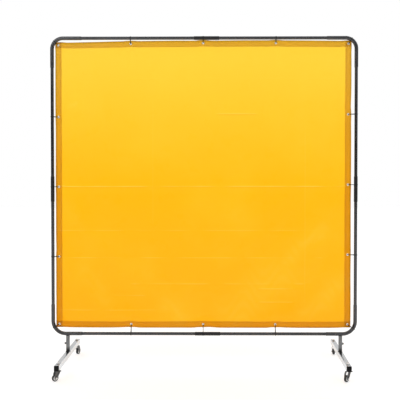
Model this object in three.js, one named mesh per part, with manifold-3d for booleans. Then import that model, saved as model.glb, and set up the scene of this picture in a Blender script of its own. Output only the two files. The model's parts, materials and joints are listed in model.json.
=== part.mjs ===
// Welding curtain screen on casters: a knock-down frame of round steel tube with bent corner
// sleeves and couplers, a sheet tied into it through eyelets, and two cross legs on casters.
// Millimetres. X runs along the screen, Y is the way the legs run, Z is up, and the origin is
// on the floor under the middle of the frame.
import * as THREE from "three";
import { mergeVertices } from "three/addons/utils/BufferGeometryUtils.js";
import Module from "manifold-3d";

const wasm = await Module();
wasm.setup();

// Fits
const fitGap = 0.3; // between pieces that touch
const weldDepth = 0.6; // how far a welded tube bites into the wall it stands on
const roundSides = 16; // sides of a round tube
const smallSides = 10; // sides of pins, eyelets and studs

// Frame
const frameWidth = 1830; // over the corner sleeves
const frameHeight = 1785; // over the corner sleeves
const frameBase = 189; // floor to the underside of the bottom sleeves
const tubeDiameter = 19;
const tubeWall = 1.2;
const sleeveWall = 1.2;
const cornerReach = 185; // outer edge of the frame to the mouth of a corner sleeve
const topBendRadius = 64; // to the centre line of the tube
const bottomBendRadius = 76;
const bendSteps = 6;
const insertDepth = 40; // tube inside a corner sleeve
const couplerLength = 150;
const couplerSpace = 6; // between the two tube ends inside a coupler
const topCouplerShift = 16; // from the middle of the frame
const bottomCouplerShift = 22;
const sideCouplerDrop = 15;

// Stubs under the bottom corners, and the posts of the legs that take them
const postInset = 99; // outer edge of the frame to the centre of a post
const stubLength = 75; // below the sleeve

// Sheet
const sheetThickness = 1.2;
const sheetBackGap = 0.9; // from the back of the sleeves to the front of the sheet
const sheetMarginTop = 14; // from the centre line of the tube to the edge of the sheet
const sheetMarginBottom = 36;
const sheetMarginLeft = 16;
const sheetMarginRight = 25;
const eyeletInset = 18.5;
const eyeletDiameter = 15;
const eyeletHole = 8.4;
const eyeletStand = 0.7; // flange above the sheet
const eyeletSpaces = 4; // along each side
const leftRowDrop = 12; // the middle eyelets of the left side sit this much lower

// Cable ties
const tieWidth = 3.6;
const tieThickness = 1.2;
const tieHemGap = 0.5;
const tieTubeGap = 0.8; // leaves room for the curve of a bend inside the loop
const tieHeadLength = 6.5;
const tieHeadWidth = 5.4;
const tieHeadHeight = 4;
const tieHeadPlace = 0.6; // of the way from the eyelet to the hem's edge
const tieArcSteps = 14;

// Legs
const legLength = 600; // over the end caps
const legWidth = 28;
const legHeight = 31;
const legWall = 1.5;
const legCornerRadius = 3;
const legCornerSteps = 3;
const legTurnLeft = 0.75; // degrees about the post
const legTurnRight = -3.5;
const capThickness = 3.5;
const capPlugDepth = 16;
const capPlugWall = 2;

// Lock bolts
const boltHeight = 142; // above the floor
const boltDiameter = 6;
const boltHeadWidth = 10;
const boltHeadHeight = 4.5;
const bossDiameter = 13;
const bossHeight = 3.5;

// Casters
const casterHeight = 62;
const stemInset = 38; // end of the leg to the stem
const stemDiameter = 8;
const collarDiameter = 22;
const collarHeight = 3;
const nutDiameter = 14;
const nutHeight = 6;
const nutDomeHeight = 4.5;
const pivotDiameter = 10;
const rivetDiameter = 16;
const rivetHeight = 2;
const forkThickness = 2;
const crownThickness = 2.5;
const forkCrownFront = 12; // ahead of the swivel axis
const forkCrownRear = 16;
const forkEyeRadius = 7.5; // round the axle
const casterTrail = 18;
const wheelDiameter = 38;
const wheelWidth = 15;
const hubWidth = 16.4;
const hubDiameter = 13;
const treadHeight = 5.5;
const webRecess = 2;
const wheelSides = 20;
const axleDiameter = 6;
const axleHeadDiameter = 10;
const axleHeadHeight = 3.2;
const wheelSideGap = 0.5; // hub to fork
const casterTurns = { left_front: 136, left_rear: -20, right_front: 143, right_rear: -12 };

// Brake levers; a caster that isn't named here has none
const leverSides = { left_front: -1, left_rear: 1, right_front: -1 }; // of the wheel
const leverThickness = 1.8;
const leverDrop = 1.4; // top of the fork to the top of the lever
const leverLean = 24; // towards the swivel axis
const leverArmWidth = 9;
const leverPadReach = 15; // of the pad, away from the wheel

// Heights and places that follow
const sleeveBore = tubeDiameter / 2 + fitGap;
const sleeveRadius = sleeveBore + sleeveWall;
const tubeRadius = tubeDiameter / 2;
const sideX = frameWidth / 2 - sleeveRadius;
const bottomZ = frameBase + sleeveRadius;
const topZ = frameBase + frameHeight - sleeveRadius;
const middleZ = (bottomZ + topZ) / 2;
const sheetSetBack = sleeveRadius + sheetBackGap + sheetThickness / 2;
const postX = frameWidth / 2 - postInset;
const sheetLeft = -sideX + sheetMarginLeft;
const sheetRight = sideX - sheetMarginRight;
const sheetBottom = bottomZ + sheetMarginBottom;
const sheetTop = topZ - sheetMarginTop;
const eyeletRoom = (eyeletHole / 2) * Math.cos(Math.PI / smallSides) - fitGap;
const tieEyeRadius = Math.sqrt(eyeletRoom ** 2 - (tieWidth / 2) ** 2) - tieThickness;
const legTop = casterHeight + legHeight;
const stemReach = legLength / 2 - stemInset;
const forkInner = hubWidth / 2 + wheelSideGap;
const forkOuter = forkInner + forkThickness;
const crownTop = casterHeight - fitGap - collarHeight - fitGap;
const crownBottom = crownTop - crownThickness;
const axleZ = wheelDiameter / 2;

// Finishes
const finish = (color, roughness, metalness) =>
  new THREE.MeshStandardMaterial({ color, roughness, metalness });
const tubeSteel = finish(0x55585a, 0.3, 0.9);
const couplerSteel = finish(0x1b1c1e, 0.35, 0.8);
const legChrome = finish(0xc9cccf, 0.15, 1);
const zincSteel = finish(0xa8abad, 0.35, 1);
const sheetVinyl = finish(0xffc21e, 0.35, 0);
const blackNylon = finish(0x101112, 0.5, 0);
const blackPlastic = finish(0x0c0c0d, 0.6, 0);
const wheelRubber = finish(0x3a3b3d, 0.6, 0);

// Solids: a closed geometry becomes a manifold, is cut or joined, and comes back.
function solidFrom(geometry) {
  const bare = geometry.clone();
  bare.deleteAttribute("normal");
  bare.deleteAttribute("uv");
  const merged = mergeVertices(bare, 1e-4);
  return new wasm.Manifold(
    new wasm.Mesh({
      numProp: 3,
      vertProperties: merged.attributes.position.array,
      triVerts: new Uint32Array(merged.index.array),
    }),
  );
}

function geometryFrom(solid) {
  const mesh = solid.getMesh();
  const geometry = new THREE.BufferGeometry();
  geometry.setAttribute("position", new THREE.BufferAttribute(mesh.vertProperties, 3));
  geometry.setIndex(new THREE.BufferAttribute(mesh.triVerts, 1));
  return geometry;
}

function joined(...geometries) {
  const solids = geometries.map(solidFrom);
  return geometryFrom(solids.reduce((whole, solid) => whole.add(solid)));
}

function cut(geometry, ...tools) {
  const solids = tools.map(solidFrom);
  return geometryFrom(solids.reduce((rest, tool) => rest.subtract(tool), solidFrom(geometry)));
}

// A regular polygon with a corner on its first axis, as a Shape or, backwards, as a hole.
function roundOutline(Outline, radius, sides, centreX = 0, centreY = 0) {
  const points = [];
  for (let i = 0; i < sides; i++) {
    const angle = (2 * Math.PI * i) / sides;
    points.push(
      new THREE.Vector2(centreX + radius * Math.cos(angle), centreY + radius * Math.sin(angle)),
    );
  }
  return new Outline(points);
}

function ringShape(outerRadius, innerRadius, sides = roundSides) {
  const shape = roundOutline(THREE.Shape, outerRadius, sides);
  shape.holes.push(roundOutline(THREE.Path, innerRadius, sides));
  return shape;
}

function slab(shape, depth) {
  return new THREE.ExtrudeGeometry(shape, { depth, bevelEnabled: false, steps: 1 });
}

// A straight hollow tube along +Z from z = 0.
function pipe(outerRadius, innerRadius, length) {
  return slab(ringShape(outerRadius, innerRadius), length);
}

// A solid round bar along Z between two heights.
function bar(radius, from, to, sides = roundSides) {
  const geometry = slab(roundOutline(THREE.Shape, radius, sides), to - from);
  return geometry.translate(0, 0, from);
}

// A turned piece: [radius, height] pairs from the bottom up, starting and ending on the axis.
function turned(profile, sides) {
  const points = profile.map(([radius, height]) => new THREE.Vector2(radius, height));
  return new THREE.LatheGeometry(points, sides).rotateX(Math.PI / 2);
}

function box(sizeX, sizeY, sizeZ, x, y, z) {
  return new THREE.BoxGeometry(sizeX, sizeY, sizeZ).translate(x, y, z);
}

function part(name, geometry, material) {
  const mesh = new THREE.Mesh(geometry, material);
  mesh.name = name;
  return mesh;
}

function group(...children) {
  const holder = new THREE.Group();
  holder.add(...children);
  return holder;
}

// The centre line of a corner: straight up, a quarter turn towards +X, straight on. It is
// sampled at its two ends and along the turn only.
class CornerLine extends THREE.Curve {
  constructor(straight, bendRadius) {
    super();
    this.straight = straight;
    this.bendRadius = bendRadius;
    this.steps = bendSteps + 2;
  }
  turnAt(t) {
    return THREE.MathUtils.clamp((t * this.steps - 1) / bendSteps, 0, 1) * (Math.PI / 2);
  }
  getPointAt(t) {
    const turn = this.turnAt(t);
    const before = Math.max(0, 1 - t * this.steps) * this.straight;
    const after = Math.max(0, t * this.steps - this.steps + 1) * this.straight;
    const x = this.bendRadius * (1 - Math.cos(turn)) + after;
    const z = this.bendRadius * Math.sin(turn) - before;
    return new THREE.Vector3(x, 0, z);
  }
  getTangentAt(t) {
    const turn = this.turnAt(t);
    return new THREE.Vector3(Math.sin(turn), 0, Math.cos(turn));
  }
}

// A corner sleeve for the upper left, with its bend starting at the frame's side at z = 0.
function cornerSleeve(bendRadius) {
  const line = new CornerLine(cornerReach - sleeveRadius - bendRadius, bendRadius);
  return new THREE.ExtrudeGeometry(ringShape(sleeveRadius, sleeveBore), {
    steps: line.steps,
    extrudePath: line,
    bevelEnabled: false,
  });
}

function topCorner(side) {
  const geometry = cornerSleeve(topBendRadius);
  if (side > 0) geometry.rotateZ(Math.PI);
  return geometry.translate(side * sideX, 0, topZ - topBendRadius);
}

// The stub is welded to the underside of the sleeve, which keeps its bore clear.
function bottomCorner(side) {
  const sleeve = cornerSleeve(bottomBendRadius).rotateX(Math.PI);
  if (side > 0) sleeve.rotateZ(Math.PI);
  sleeve.translate(side * sideX, 0, bottomZ + bottomBendRadius);
  const stub = pipe(tubeRadius, tubeRadius - tubeWall, stubLength + sleeveRadius);
  stub.translate(side * postX, 0, frameBase - stubLength);
  const saddle = bar(sleeveRadius - weldDepth, -tubeDiameter, tubeDiameter);
  saddle.rotateY(Math.PI / 2).translate(side * postX, 0, bottomZ);
  return joined(sleeve, cut(stub, saddle));
}

// Straight tubes and couplers lie along Z, or along X when turned.
function alongZ(geometry, x, z) {
  return geometry.translate(x, 0, z);
}

function alongX(geometry, x, z) {
  return geometry.rotateY(Math.PI / 2).translate(x, 0, z);
}

function tube(from, to) {
  return pipe(tubeRadius, tubeRadius - tubeWall, to - from);
}

function couplerSleeve() {
  return pipe(sleeveRadius, sleeveBore, couplerLength).translate(0, 0, -couplerLength / 2);
}

function frameParts() {
  const inserted = cornerReach - insertDepth;
  const leftEnd = -frameWidth / 2 + inserted;
  const rightEnd = frameWidth / 2 - inserted;
  const lowEnd = frameBase + inserted;
  const highEnd = frameBase + frameHeight - inserted;
  const halfSpace = couplerSpace / 2;
  const sideCouplerZ = middleZ - sideCouplerDrop;
  const parts = [
    part("corner_top_left", topCorner(-1), tubeSteel),
    part("corner_top_right", topCorner(1), tubeSteel),
    part("corner_bottom_left", bottomCorner(-1), tubeSteel),
    part("corner_bottom_right", bottomCorner(1), tubeSteel),
  ];
  for (const [row, z, shift] of [
    ["top", topZ, topCouplerShift],
    ["bottom", bottomZ, bottomCouplerShift],
  ]) {
    const left = alongX(tube(leftEnd, shift - halfSpace), leftEnd, z);
    const right = alongX(tube(shift + halfSpace, rightEnd), shift + halfSpace, z);
    parts.push(part(`tube_${row}_left`, left, tubeSteel));
    parts.push(part(`tube_${row}_right`, right, tubeSteel));
    parts.push(part(`coupler_${row}`, alongX(couplerSleeve(), shift, z), couplerSteel));
  }
  for (const [column, x] of [
    ["left", -sideX],
    ["right", sideX],
  ]) {
    const lower = alongZ(tube(lowEnd, sideCouplerZ - halfSpace), x, lowEnd);
    const upper = alongZ(tube(sideCouplerZ + halfSpace, highEnd), x, sideCouplerZ + halfSpace);
    parts.push(part(`tube_${column}_lower`, lower, tubeSteel));
    parts.push(part(`tube_${column}_upper`, upper, tubeSteel));
    parts.push(part(`coupler_${column}`, alongZ(couplerSleeve(), x, sideCouplerZ), couplerSteel));
  }
  return parts;
}

// Eyelets go round the sheet's edge at even spaces. Each knows the way out to its tube, how
// far off the tube's centre line is, and how thick the frame is there.
function eyelets() {
  const left = sheetLeft + eyeletInset;
  const right = sheetRight - eyeletInset;
  const low = sheetBottom + eyeletInset;
  const high = sheetTop - eyeletInset;
  const list = [];
  for (let i = 1; i < eyeletSpaces; i++) {
    const share = i / eyeletSpaces;
    const x = left + (right - left) * share;
    const z = low + (high - low) * share;
    const pipeRadius = share === 0.5 ? sleeveRadius : tubeRadius;
    for (const place of [
      { name: `top_${i}`, x, z: high, outX: 0, outZ: 1, reach: topZ - high },
      { name: `bottom_${i}`, x, z: low, outX: 0, outZ: -1, reach: low - bottomZ },
      { name: `left_${i}`, x: left, z: z - leftRowDrop, outX: -1, outZ: 0, reach: left + sideX },
      { name: `right_${i}`, x: right, z, outX: 1, outZ: 0, reach: sideX - right },
    ]) {
      list.push({ ...place, pipeRadius });
    }
  }
  for (const [row, z, bendRadius, bendZ] of [
    ["top", high, topBendRadius, topZ - topBendRadius],
    ["bottom", low, bottomBendRadius, bottomZ + bottomBendRadius],
  ]) {
    for (const [column, x, bendX] of [
      ["left", left, -sideX + bendRadius],
      ["right", right, sideX - bendRadius],
    ]) {
      const distance = Math.hypot(x - bendX, z - bendZ);
      list.push({
        name: `${row}_${column}`, x, z,
        outX: (x - bendX) / distance, outZ: (z - bendZ) / distance,
        reach: bendRadius - distance, pipeRadius: sleeveRadius,
      });
    }
  }
  return list;
}

// The sheet is a flat plate with its eyelets crimped in.
function sheet() {
  const outline = new THREE.Shape([
    new THREE.Vector2(sheetLeft, sheetBottom),
    new THREE.Vector2(sheetRight, sheetBottom),
    new THREE.Vector2(sheetRight, sheetTop),
    new THREE.Vector2(sheetLeft, sheetTop),
  ]);
  const rims = [];
  for (const { x, z } of eyelets()) {
    outline.holes.push(roundOutline(THREE.Path, eyeletHole / 2, smallSides, x, z));
    const rim = slab(ringShape(eyeletDiameter / 2, eyeletHole / 2, smallSides), eyeletHeight());
    rims.push(rim.translate(x, z, -eyeletHeight() / 2));
  }
  const plate = slab(outline, sheetThickness).translate(0, 0, -sheetThickness / 2);
  return joined(plate, ...rims).rotateX(Math.PI / 2).translate(0, sheetSetBack, 0);
}

function eyeletHeight() {
  return sheetThickness + 2 * eyeletStand;
}

// The convex outline round a few circles, each [x, y, radius], all grown by the same amount.
function wrapOutline(Outline, circles, growth) {
  const points = [];
  for (const [x, y, radius] of circles) {
    for (let i = 0; i < tieArcSteps; i++) {
      const angle = (2 * Math.PI * i) / tieArcSteps;
      const grown = radius + growth;
      points.push([x + grown * Math.cos(angle), y + grown * Math.sin(angle)]);
    }
  }
  points.sort((a, b) => a[0] - b[0] || a[1] - b[1]);
  const turnsRight = ([ax, ay], [bx, by], [cx, cy]) =>
    (bx - ax) * (cy - ay) - (by - ay) * (cx - ax) <= 0;
  const halfHull = (ordered) => {
    const hull = [];
    for (const point of ordered) {
      while (hull.length > 1 && turnsRight(hull.at(-2), hull.at(-1), point)) hull.pop();
      hull.push(point);
    }
    return hull.slice(0, -1);
  };
  const hull = [...halfHull(points), ...halfHull(points.toReversed())];
  return new Outline(hull.map(([x, y]) => new THREE.Vector2(x, y)));
}

// A tie is one loop: through the eyelet, past the hem on both sides and round the tube, with
// its head behind the hem. Its first axis points outwards and its second is +Y.
function tie({ outX, outZ, reach, pipeRadius }) {
  const across = Math.max(Math.abs(outX), Math.abs(outZ));
  const along = Math.min(Math.abs(outX), Math.abs(outZ));
  const hemReach = (eyeletInset + (along * tieWidth) / 2) / across;
  const flange = eyeletHeight() / 2;
  const circles = [
    [0, sheetSetBack - flange, tieEyeRadius],
    [0, sheetSetBack + flange, tieEyeRadius],
    [hemReach, sheetSetBack, sheetThickness / 2 + tieHemGap],
    [reach, 0, pipeRadius + tieTubeGap],
  ];
  const outline = wrapOutline(THREE.Shape, circles, tieThickness);
  outline.holes.push(wrapOutline(THREE.Path, circles, 0));
  const band = slab(outline, tieWidth).translate(0, 0, -tieWidth / 2);
  const headFoot = sheetSetBack + sheetThickness / 2 + tieHemGap + tieThickness / 2;
  const head = box(
    tieHeadLength, tieHeadHeight, tieHeadWidth,
    hemReach * tieHeadPlace, headFoot + tieHeadHeight / 2, 0,
  );
  return joined(band, head);
}

function ties() {
  return eyelets().map((eyelet) => {
    const mesh = part(`tie_${eyelet.name}`, tie(eyelet), blackNylon);
    const out = new THREE.Vector3(eyelet.outX, 0, eyelet.outZ);
    const back = new THREE.Vector3(0, 1, 0);
    const turn = new THREE.Matrix4().makeBasis(out, back, out.clone().cross(back));
    mesh.quaternion.setFromRotationMatrix(turn);
    mesh.position.set(eyelet.x, 0, eyelet.z);
    return mesh;
  });
}

// A rectangle with rounded corners, centred, as a Shape or a hole.
function roundedOutline(Outline, width, height, radius) {
  const points = [];
  const x = width / 2 - radius;
  const y = height / 2 - radius;
  [[x, y], [-x, y], [-x, -y], [x, -y]].forEach(([centreX, centreY], quarter) => {
    for (let i = 0; i <= legCornerSteps; i++) {
      const angle = (Math.PI / 2) * (quarter + i / legCornerSteps);
      points.push(
        new THREE.Vector2(centreX + radius * Math.cos(angle), centreY + radius * Math.sin(angle)),
      );
    }
  });
  return new Outline(points);
}

// A box section along Y: its outline is upright, and it runs from one Y to the other.
function boxSection(outline, fromY, toY) {
  const geometry = slab(outline, toY - fromY).rotateX(Math.PI / 2);
  return geometry.translate(0, toY, casterHeight + legHeight / 2);
}

function legTubeReach() {
  return legLength / 2 - capThickness - fitGap;
}

// Leg tube, its post and the threaded boss for the lock bolt are welded into one piece.
function leg(side) {
  const outline = roundedOutline(THREE.Shape, legWidth, legHeight, legCornerRadius);
  outline.holes.push(
    roundedOutline(
      THREE.Path, legWidth - 2 * legWall, legHeight - 2 * legWall, legCornerRadius - legWall,
    ),
  );
  const beam = boxSection(outline, -legTubeReach(), legTubeReach());
  const stemHoles = [-1, 1].map((end) =>
    bar(stemDiameter / 2 + fitGap, casterHeight - legWall, legTop + legWall)
      .translate(0, end * stemReach, 0),
  );
  const postTop = frameBase - fitGap;
  const postFoot = legTop - weldDepth;
  const post = pipe(sleeveRadius, sleeveBore, postTop - postFoot).translate(0, 0, postFoot);
  const boss = boltBar(bossDiameter / 2, sleeveBore + sleeveWall / 2, bossFace(), side);
  const boltHole = boltBar(boltDiameter / 2 + fitGap, 0, bossFace() + bossHeight, side);
  return cut(joined(cut(beam, ...stemHoles), post, boss), boltHole);
}

function bossFace() {
  return sleeveRadius + bossHeight;
}

// A round bar along X at the bolt's height, reaching outwards from the post.
function boltBar(radius, from, to, side, sides = roundSides) {
  const geometry = bar(radius, from, to, sides).rotateY((side * Math.PI) / 2);
  return geometry.translate(0, 0, boltHeight);
}

function lockBolt(side) {
  const headFace = bossFace() + fitGap;
  const head = boltBar(
    boltHeadWidth / Math.sqrt(3), headFace, headFace + boltHeadHeight, side, 6,
  );
  const shank = boltBar(boltDiameter / 2, tubeRadius + fitGap, headFace + fitGap, side);
  return joined(head, shank);
}

// An end cap: a flange as large as the tube, and a hollow plug inside it. It faces -Y.
function endCap() {
  const flange = roundedOutline(THREE.Shape, legWidth, legHeight, legCornerRadius);
  const inside = legWall + fitGap;
  const plugOutline = roundedOutline(
    THREE.Shape, legWidth - 2 * inside, legHeight - 2 * inside, legCornerRadius - legWall,
  );
  const hollow = inside + capPlugWall;
  plugOutline.holes.push(
    roundedOutline(
      THREE.Path, legWidth - 2 * hollow, legHeight - 2 * hollow, legCornerRadius - legWall,
    ),
  );
  const face = -legLength / 2;
  const plugEnd = face + capThickness + capPlugDepth;
  return joined(
    boxSection(flange, face, face + capThickness),
    boxSection(plugOutline, face + capThickness / 2, plugEnd),
  );
}

// The stem of a caster, from the rivet head under the fork to the domed nut on the leg.
function casterStem() {
  const collarFoot = casterHeight - fitGap - collarHeight;
  const rivetTop = crownBottom - fitGap;
  const nutFoot = legTop + fitGap;
  return turned(
    [
      [0, rivetTop - rivetHeight],
      [rivetDiameter / 2, rivetTop - rivetHeight],
      [rivetDiameter / 2, rivetTop],
      [pivotDiameter / 2, rivetTop],
      [pivotDiameter / 2, collarFoot],
      [collarDiameter / 2, collarFoot],
      [collarDiameter / 2, collarFoot + collarHeight],
      [stemDiameter / 2, collarFoot + collarHeight],
      [stemDiameter / 2, nutFoot],
      [nutDiameter / 2, nutFoot],
      [nutDiameter / 2, nutFoot + nutHeight],
      [nutDiameter / 3, nutFoot + nutHeight + nutDomeHeight * 0.75],
      [0, nutFoot + nutHeight + nutDomeHeight],
    ],
    smallSides + 2,
  );
}

// Upright plate in the caster's YZ plane: outline points are [y, z], thickness runs along +X.
function sidePlate(outline, fromX, toX) {
  return slab(outline, toX - fromX)
    .rotateX(Math.PI / 2)
    .rotateZ(Math.PI / 2)
    .translate(fromX, 0, 0);
}

function crossHole(radius, y, z) {
  return bar(radius, -collarDiameter, collarDiameter).rotateY(Math.PI / 2).translate(0, y, z);
}

// The part of a plate round the axle, as points of an arc from one angle to another.
function eyePoints(radius, fromDegrees, toDegrees, steps) {
  const points = [];
  for (let i = 0; i <= steps; i++) {
    const angle = THREE.MathUtils.degToRad(fromDegrees + ((toDegrees - fromDegrees) * i) / steps);
    points.push(
      new THREE.Vector2(casterTrail + radius * Math.cos(angle), axleZ + radius * Math.sin(angle)),
    );
  }
  return points;
}

function fork() {
  const cheek = new THREE.Shape([
    new THREE.Vector2(forkCrownRear, crownTop),
    new THREE.Vector2(-forkCrownFront, crownTop),
    new THREE.Vector2(-forkCrownFront, crownBottom - crownThickness),
    ...eyePoints(forkEyeRadius, 200, 360, 5),
    new THREE.Vector2(casterTrail + forkEyeRadius, axleZ + forkEyeRadius),
  ]);
  const crownDepth = forkCrownFront + forkCrownRear;
  const crownY = (forkCrownRear - forkCrownFront) / 2;
  const crown = box(
    2 * forkOuter, crownDepth, crownThickness, 0, crownY, crownTop - crownThickness / 2,
  );
  const whole = joined(
    crown,
    sidePlate(cheek, forkInner, forkOuter),
    sidePlate(cheek, -forkOuter, -forkInner),
  );
  const pivotHole = bar(pivotDiameter / 2 + fitGap, crownBottom - 1, crownTop + 1);
  return cut(whole, pivotHole, crossHole(axleDiameter / 2 + fitGap, casterTrail, axleZ));
}

// The wheel's profile closes on itself round its bore; flats of the rim touch the floor.
function wheel() {
  const bore = axleDiameter / 2 + fitGap;
  const rim = wheelDiameter / 2 / Math.cos(Math.PI / wheelSides);
  const web = wheelWidth / 2 - webRecess;
  const half = [
    [bore, hubWidth / 2],
    [hubDiameter / 2, hubWidth / 2],
    [hubDiameter / 2, web],
    [rim - treadHeight, web],
    [rim - treadHeight, wheelWidth / 2],
    [rim, wheelWidth / 2 - webRecess],
  ];
  const profile = [...half.map(([r, x]) => [r, -x]), ...half.toReversed(), [bore, -hubWidth / 2]];
  return turned(profile, wheelSides)
    .rotateZ(Math.PI / wheelSides)
    .rotateY(Math.PI / 2)
    .translate(0, casterTrail, axleZ);
}

// The axle runs along X; on a braked caster it also holds the lever under one head.
function axle(leverSide) {
  const bare = forkOuter + fitGap;
  const withLever = bare + leverThickness + fitGap;
  const low = leverSide === -1 ? withLever : bare;
  const high = leverSide === 1 ? withLever : bare;
  const head = axleHeadDiameter / 2;
  const shaft = axleDiameter / 2;
  return turned(
    [
      [0, -low - axleHeadHeight],
      [head, -low - axleHeadHeight],
      [head, -low],
      [shaft, -low],
      [shaft, high],
      [head, high],
      [head, high + axleHeadHeight],
      [0, high + axleHeadHeight],
    ],
    smallSides,
  )
    .rotateY(Math.PI / 2)
    .translate(0, casterTrail, axleZ);
}

// The brake lever: an eye on the axle, an arm that leans towards the swivel and a foot pad.
function brakeLever(side) {
  const middleX = side * (forkOuter + fitGap + leverThickness / 2);
  const armY = casterTrail - leverLean;
  const armTop = crownTop - leverDrop;
  const outline = new THREE.Shape([
    ...eyePoints(forkEyeRadius, 160, 390, 7),
    new THREE.Vector2(armY + leverArmWidth / 2, armTop),
    new THREE.Vector2(armY - leverArmWidth / 2, armTop),
  ]);
  const arm = sidePlate(outline, middleX - leverThickness / 2, middleX + leverThickness / 2);
  const pad = box(
    leverPadReach, leverArmWidth, leverThickness,
    middleX + (side * (leverPadReach - leverThickness)) / 2, armY, armTop - leverThickness / 2,
  );
  return cut(joined(arm, pad), crossHole(axleDiameter / 2 + fitGap, casterTrail, axleZ));
}

function caster(place) {
  const leverSide = leverSides[place];
  const holder = group(
    part(`fork_${place}`, fork(), zincSteel),
    part(`wheel_${place}`, wheel(), wheelRubber),
    part(`axle_${place}`, axle(leverSide), zincSteel),
  );
  if (leverSide) holder.add(part(`brake_lever_${place}`, brakeLever(leverSide), zincSteel));
  holder.rotation.z = THREE.MathUtils.degToRad(casterTurns[place]);
  return holder;
}

function legGroup(name, side, turn) {
  const holder = group(
    part(`leg_${name}`, leg(side), legChrome),
    part(`lock_bolt_${name}`, lockBolt(side), zincSteel),
  );
  for (const [end, endSide] of [
    ["front", -1],
    ["rear", 1],
  ]) {
    const cap = part(`end_cap_${name}_${end}`, endCap(), blackPlastic);
    if (endSide > 0) cap.rotation.z = Math.PI;
    const foot = group(
      part(`stem_${name}_${end}`, casterStem(), zincSteel),
      caster(`${name}_${end}`),
    );
    foot.position.y = endSide * stemReach;
    holder.add(cap, foot);
  }
  holder.position.x = side * postX;
  holder.rotation.z = THREE.MathUtils.degToRad(turn);
  return holder;
}

export default group(
  ...frameParts(),
  part("curtain", sheet(), sheetVinyl),
  ...ties(),
  legGroup("left", -1, legTurnLeft),
  legGroup("right", 1, legTurnRight),
);
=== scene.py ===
import json
import math

import bpy
import numpy as np
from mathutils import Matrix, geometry


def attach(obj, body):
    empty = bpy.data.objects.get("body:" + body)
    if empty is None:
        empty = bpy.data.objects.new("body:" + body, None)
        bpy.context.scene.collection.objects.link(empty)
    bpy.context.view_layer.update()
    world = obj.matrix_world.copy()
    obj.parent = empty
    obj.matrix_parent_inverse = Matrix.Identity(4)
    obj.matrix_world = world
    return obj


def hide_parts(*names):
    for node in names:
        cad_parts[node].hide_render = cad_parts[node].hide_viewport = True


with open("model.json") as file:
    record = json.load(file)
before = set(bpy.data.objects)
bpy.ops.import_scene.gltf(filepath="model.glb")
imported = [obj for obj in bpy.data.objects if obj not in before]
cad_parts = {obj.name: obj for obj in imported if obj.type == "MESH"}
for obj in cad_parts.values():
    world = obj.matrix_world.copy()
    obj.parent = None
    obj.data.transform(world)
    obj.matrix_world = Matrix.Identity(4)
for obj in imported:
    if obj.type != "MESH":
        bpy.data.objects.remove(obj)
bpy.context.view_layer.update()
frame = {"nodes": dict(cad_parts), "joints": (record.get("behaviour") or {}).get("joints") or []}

scene = bpy.context.scene
joints = {joint["name"]: joint for joint in frame["joints"]}
backward = np.array([0.0, 1.0, 0.0])
upward = np.array([0.0, 0.0, 1.0])
mm = 0.001


# --- places read from the frame

def nodePoints(node):
    # all corners of a CAD node
    vertices = frame["nodes"][node].data.vertices
    points = np.empty(len(vertices) * 3)
    vertices.foreach_get("co", points)
    return points.reshape(-1, 3)


def nodeBox(node):
    points = nodePoints(node)
    return points.min(0), points.max(0)


def unit(vector):
    vector = np.asarray(vector, float)
    return vector / np.linalg.norm(vector, axis=-1, keepdims=True)


def placeAt(origin, xAxis, zAxis=upward):
    # a local frame: its origin and its three axes as rows
    xAxis, zAxis = unit(xAxis), unit(zAxis)
    return np.asarray(origin, float), np.stack([xAxis, np.cross(zAxis, xAxis), zAxis])


def toWorld(points, place):
    origin, axes = place
    return origin + np.asarray(points) @ axes


def toLocal(points, place):
    origin, axes = place
    return (np.asarray(points) - origin) @ axes.T


def localBox(node, place):
    # lowest and highest corner of a node, measured in a local frame
    points = toLocal(nodePoints(node), place)
    return points.min(0), points.max(0)


# --- surfaces on a grid of points

def gridFaces(rows, columns, closeRows=False, closeColumns=False):
    # the four-sided faces between neighbouring grid points, wrapped round where asked
    r, c = np.meshgrid(np.arange(rows if closeRows else rows - 1),
                       np.arange(columns if closeColumns else columns - 1), indexing="ij")
    nextR, nextC = (r + 1) % rows, (c + 1) % columns
    corners = [r * columns + c, r * columns + nextC, nextR * columns + nextC, nextR * columns + c]
    return np.stack(corners, -1).reshape(-1, 4)


def closedGrid(points, closeRows=False, poles=(None, None)):
    # a grid as a closed skin: a pole is a point that closes its first or last row.
    # The faces are turned outwards by the sign of the volume that they enclose.
    rows, columns = points.shape[:2]
    vertices = points.reshape(-1, 3)
    quads = gridFaces(rows, columns, closeRows, closeColumns=True)
    triangles = np.empty((0, 3), int)
    ring = np.arange(columns)
    for row, pole in zip((0, rows - 1), poles):
        if pole is None:
            continue
        fan = np.stack([row * columns + ring, row * columns + (ring + 1) % columns,
                        np.full(columns, len(vertices))], -1)
        vertices = np.vstack([vertices, pole])
        triangles = np.vstack([triangles, fan if row else fan[:, ::-1]])
    corners = np.vstack([quads[:, [0, 1, 2]], quads[:, [0, 2, 3]], triangles])
    a, b, c = (vertices[corners[:, i]] for i in range(3))
    if (a * np.cross(b, c)).sum() < 0:
        quads, triangles = quads[:, ::-1], triangles[:, ::-1]
    return vertices, quads, triangles


def rounded(corners, radius, steps=3):
    # each corner of a closed outline becomes a parabola that starts and ends a radius away
    corners = np.asarray(corners, float)
    radius = np.broadcast_to(radius, len(corners))
    before, after = np.roll(corners, 1, 0) - corners, np.roll(corners, -1, 0) - corners
    lengths = [np.linalg.norm(side, axis=1, keepdims=True) for side in (before, after)]
    reach = [np.minimum(radius[:, None], 0.48 * length) / np.maximum(length, 1e-9)
             for length in lengths]
    start, end = corners + before * reach[0], corners + after * reach[1]
    t = np.linspace(0, 1, steps + 1)[None, :, None]
    curve = (1 - t) ** 2 * start[:, None] + 2 * t * (1 - t) * corners[:, None] + t ** 2 * end[:, None]
    return curve.reshape(-1, corners.shape[1])


def mirrored(outline):
    # half of an outline of (radius, height), and the same again above height 0
    return outline + [(radius, -height) for radius, height in reversed(outline)]


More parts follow.
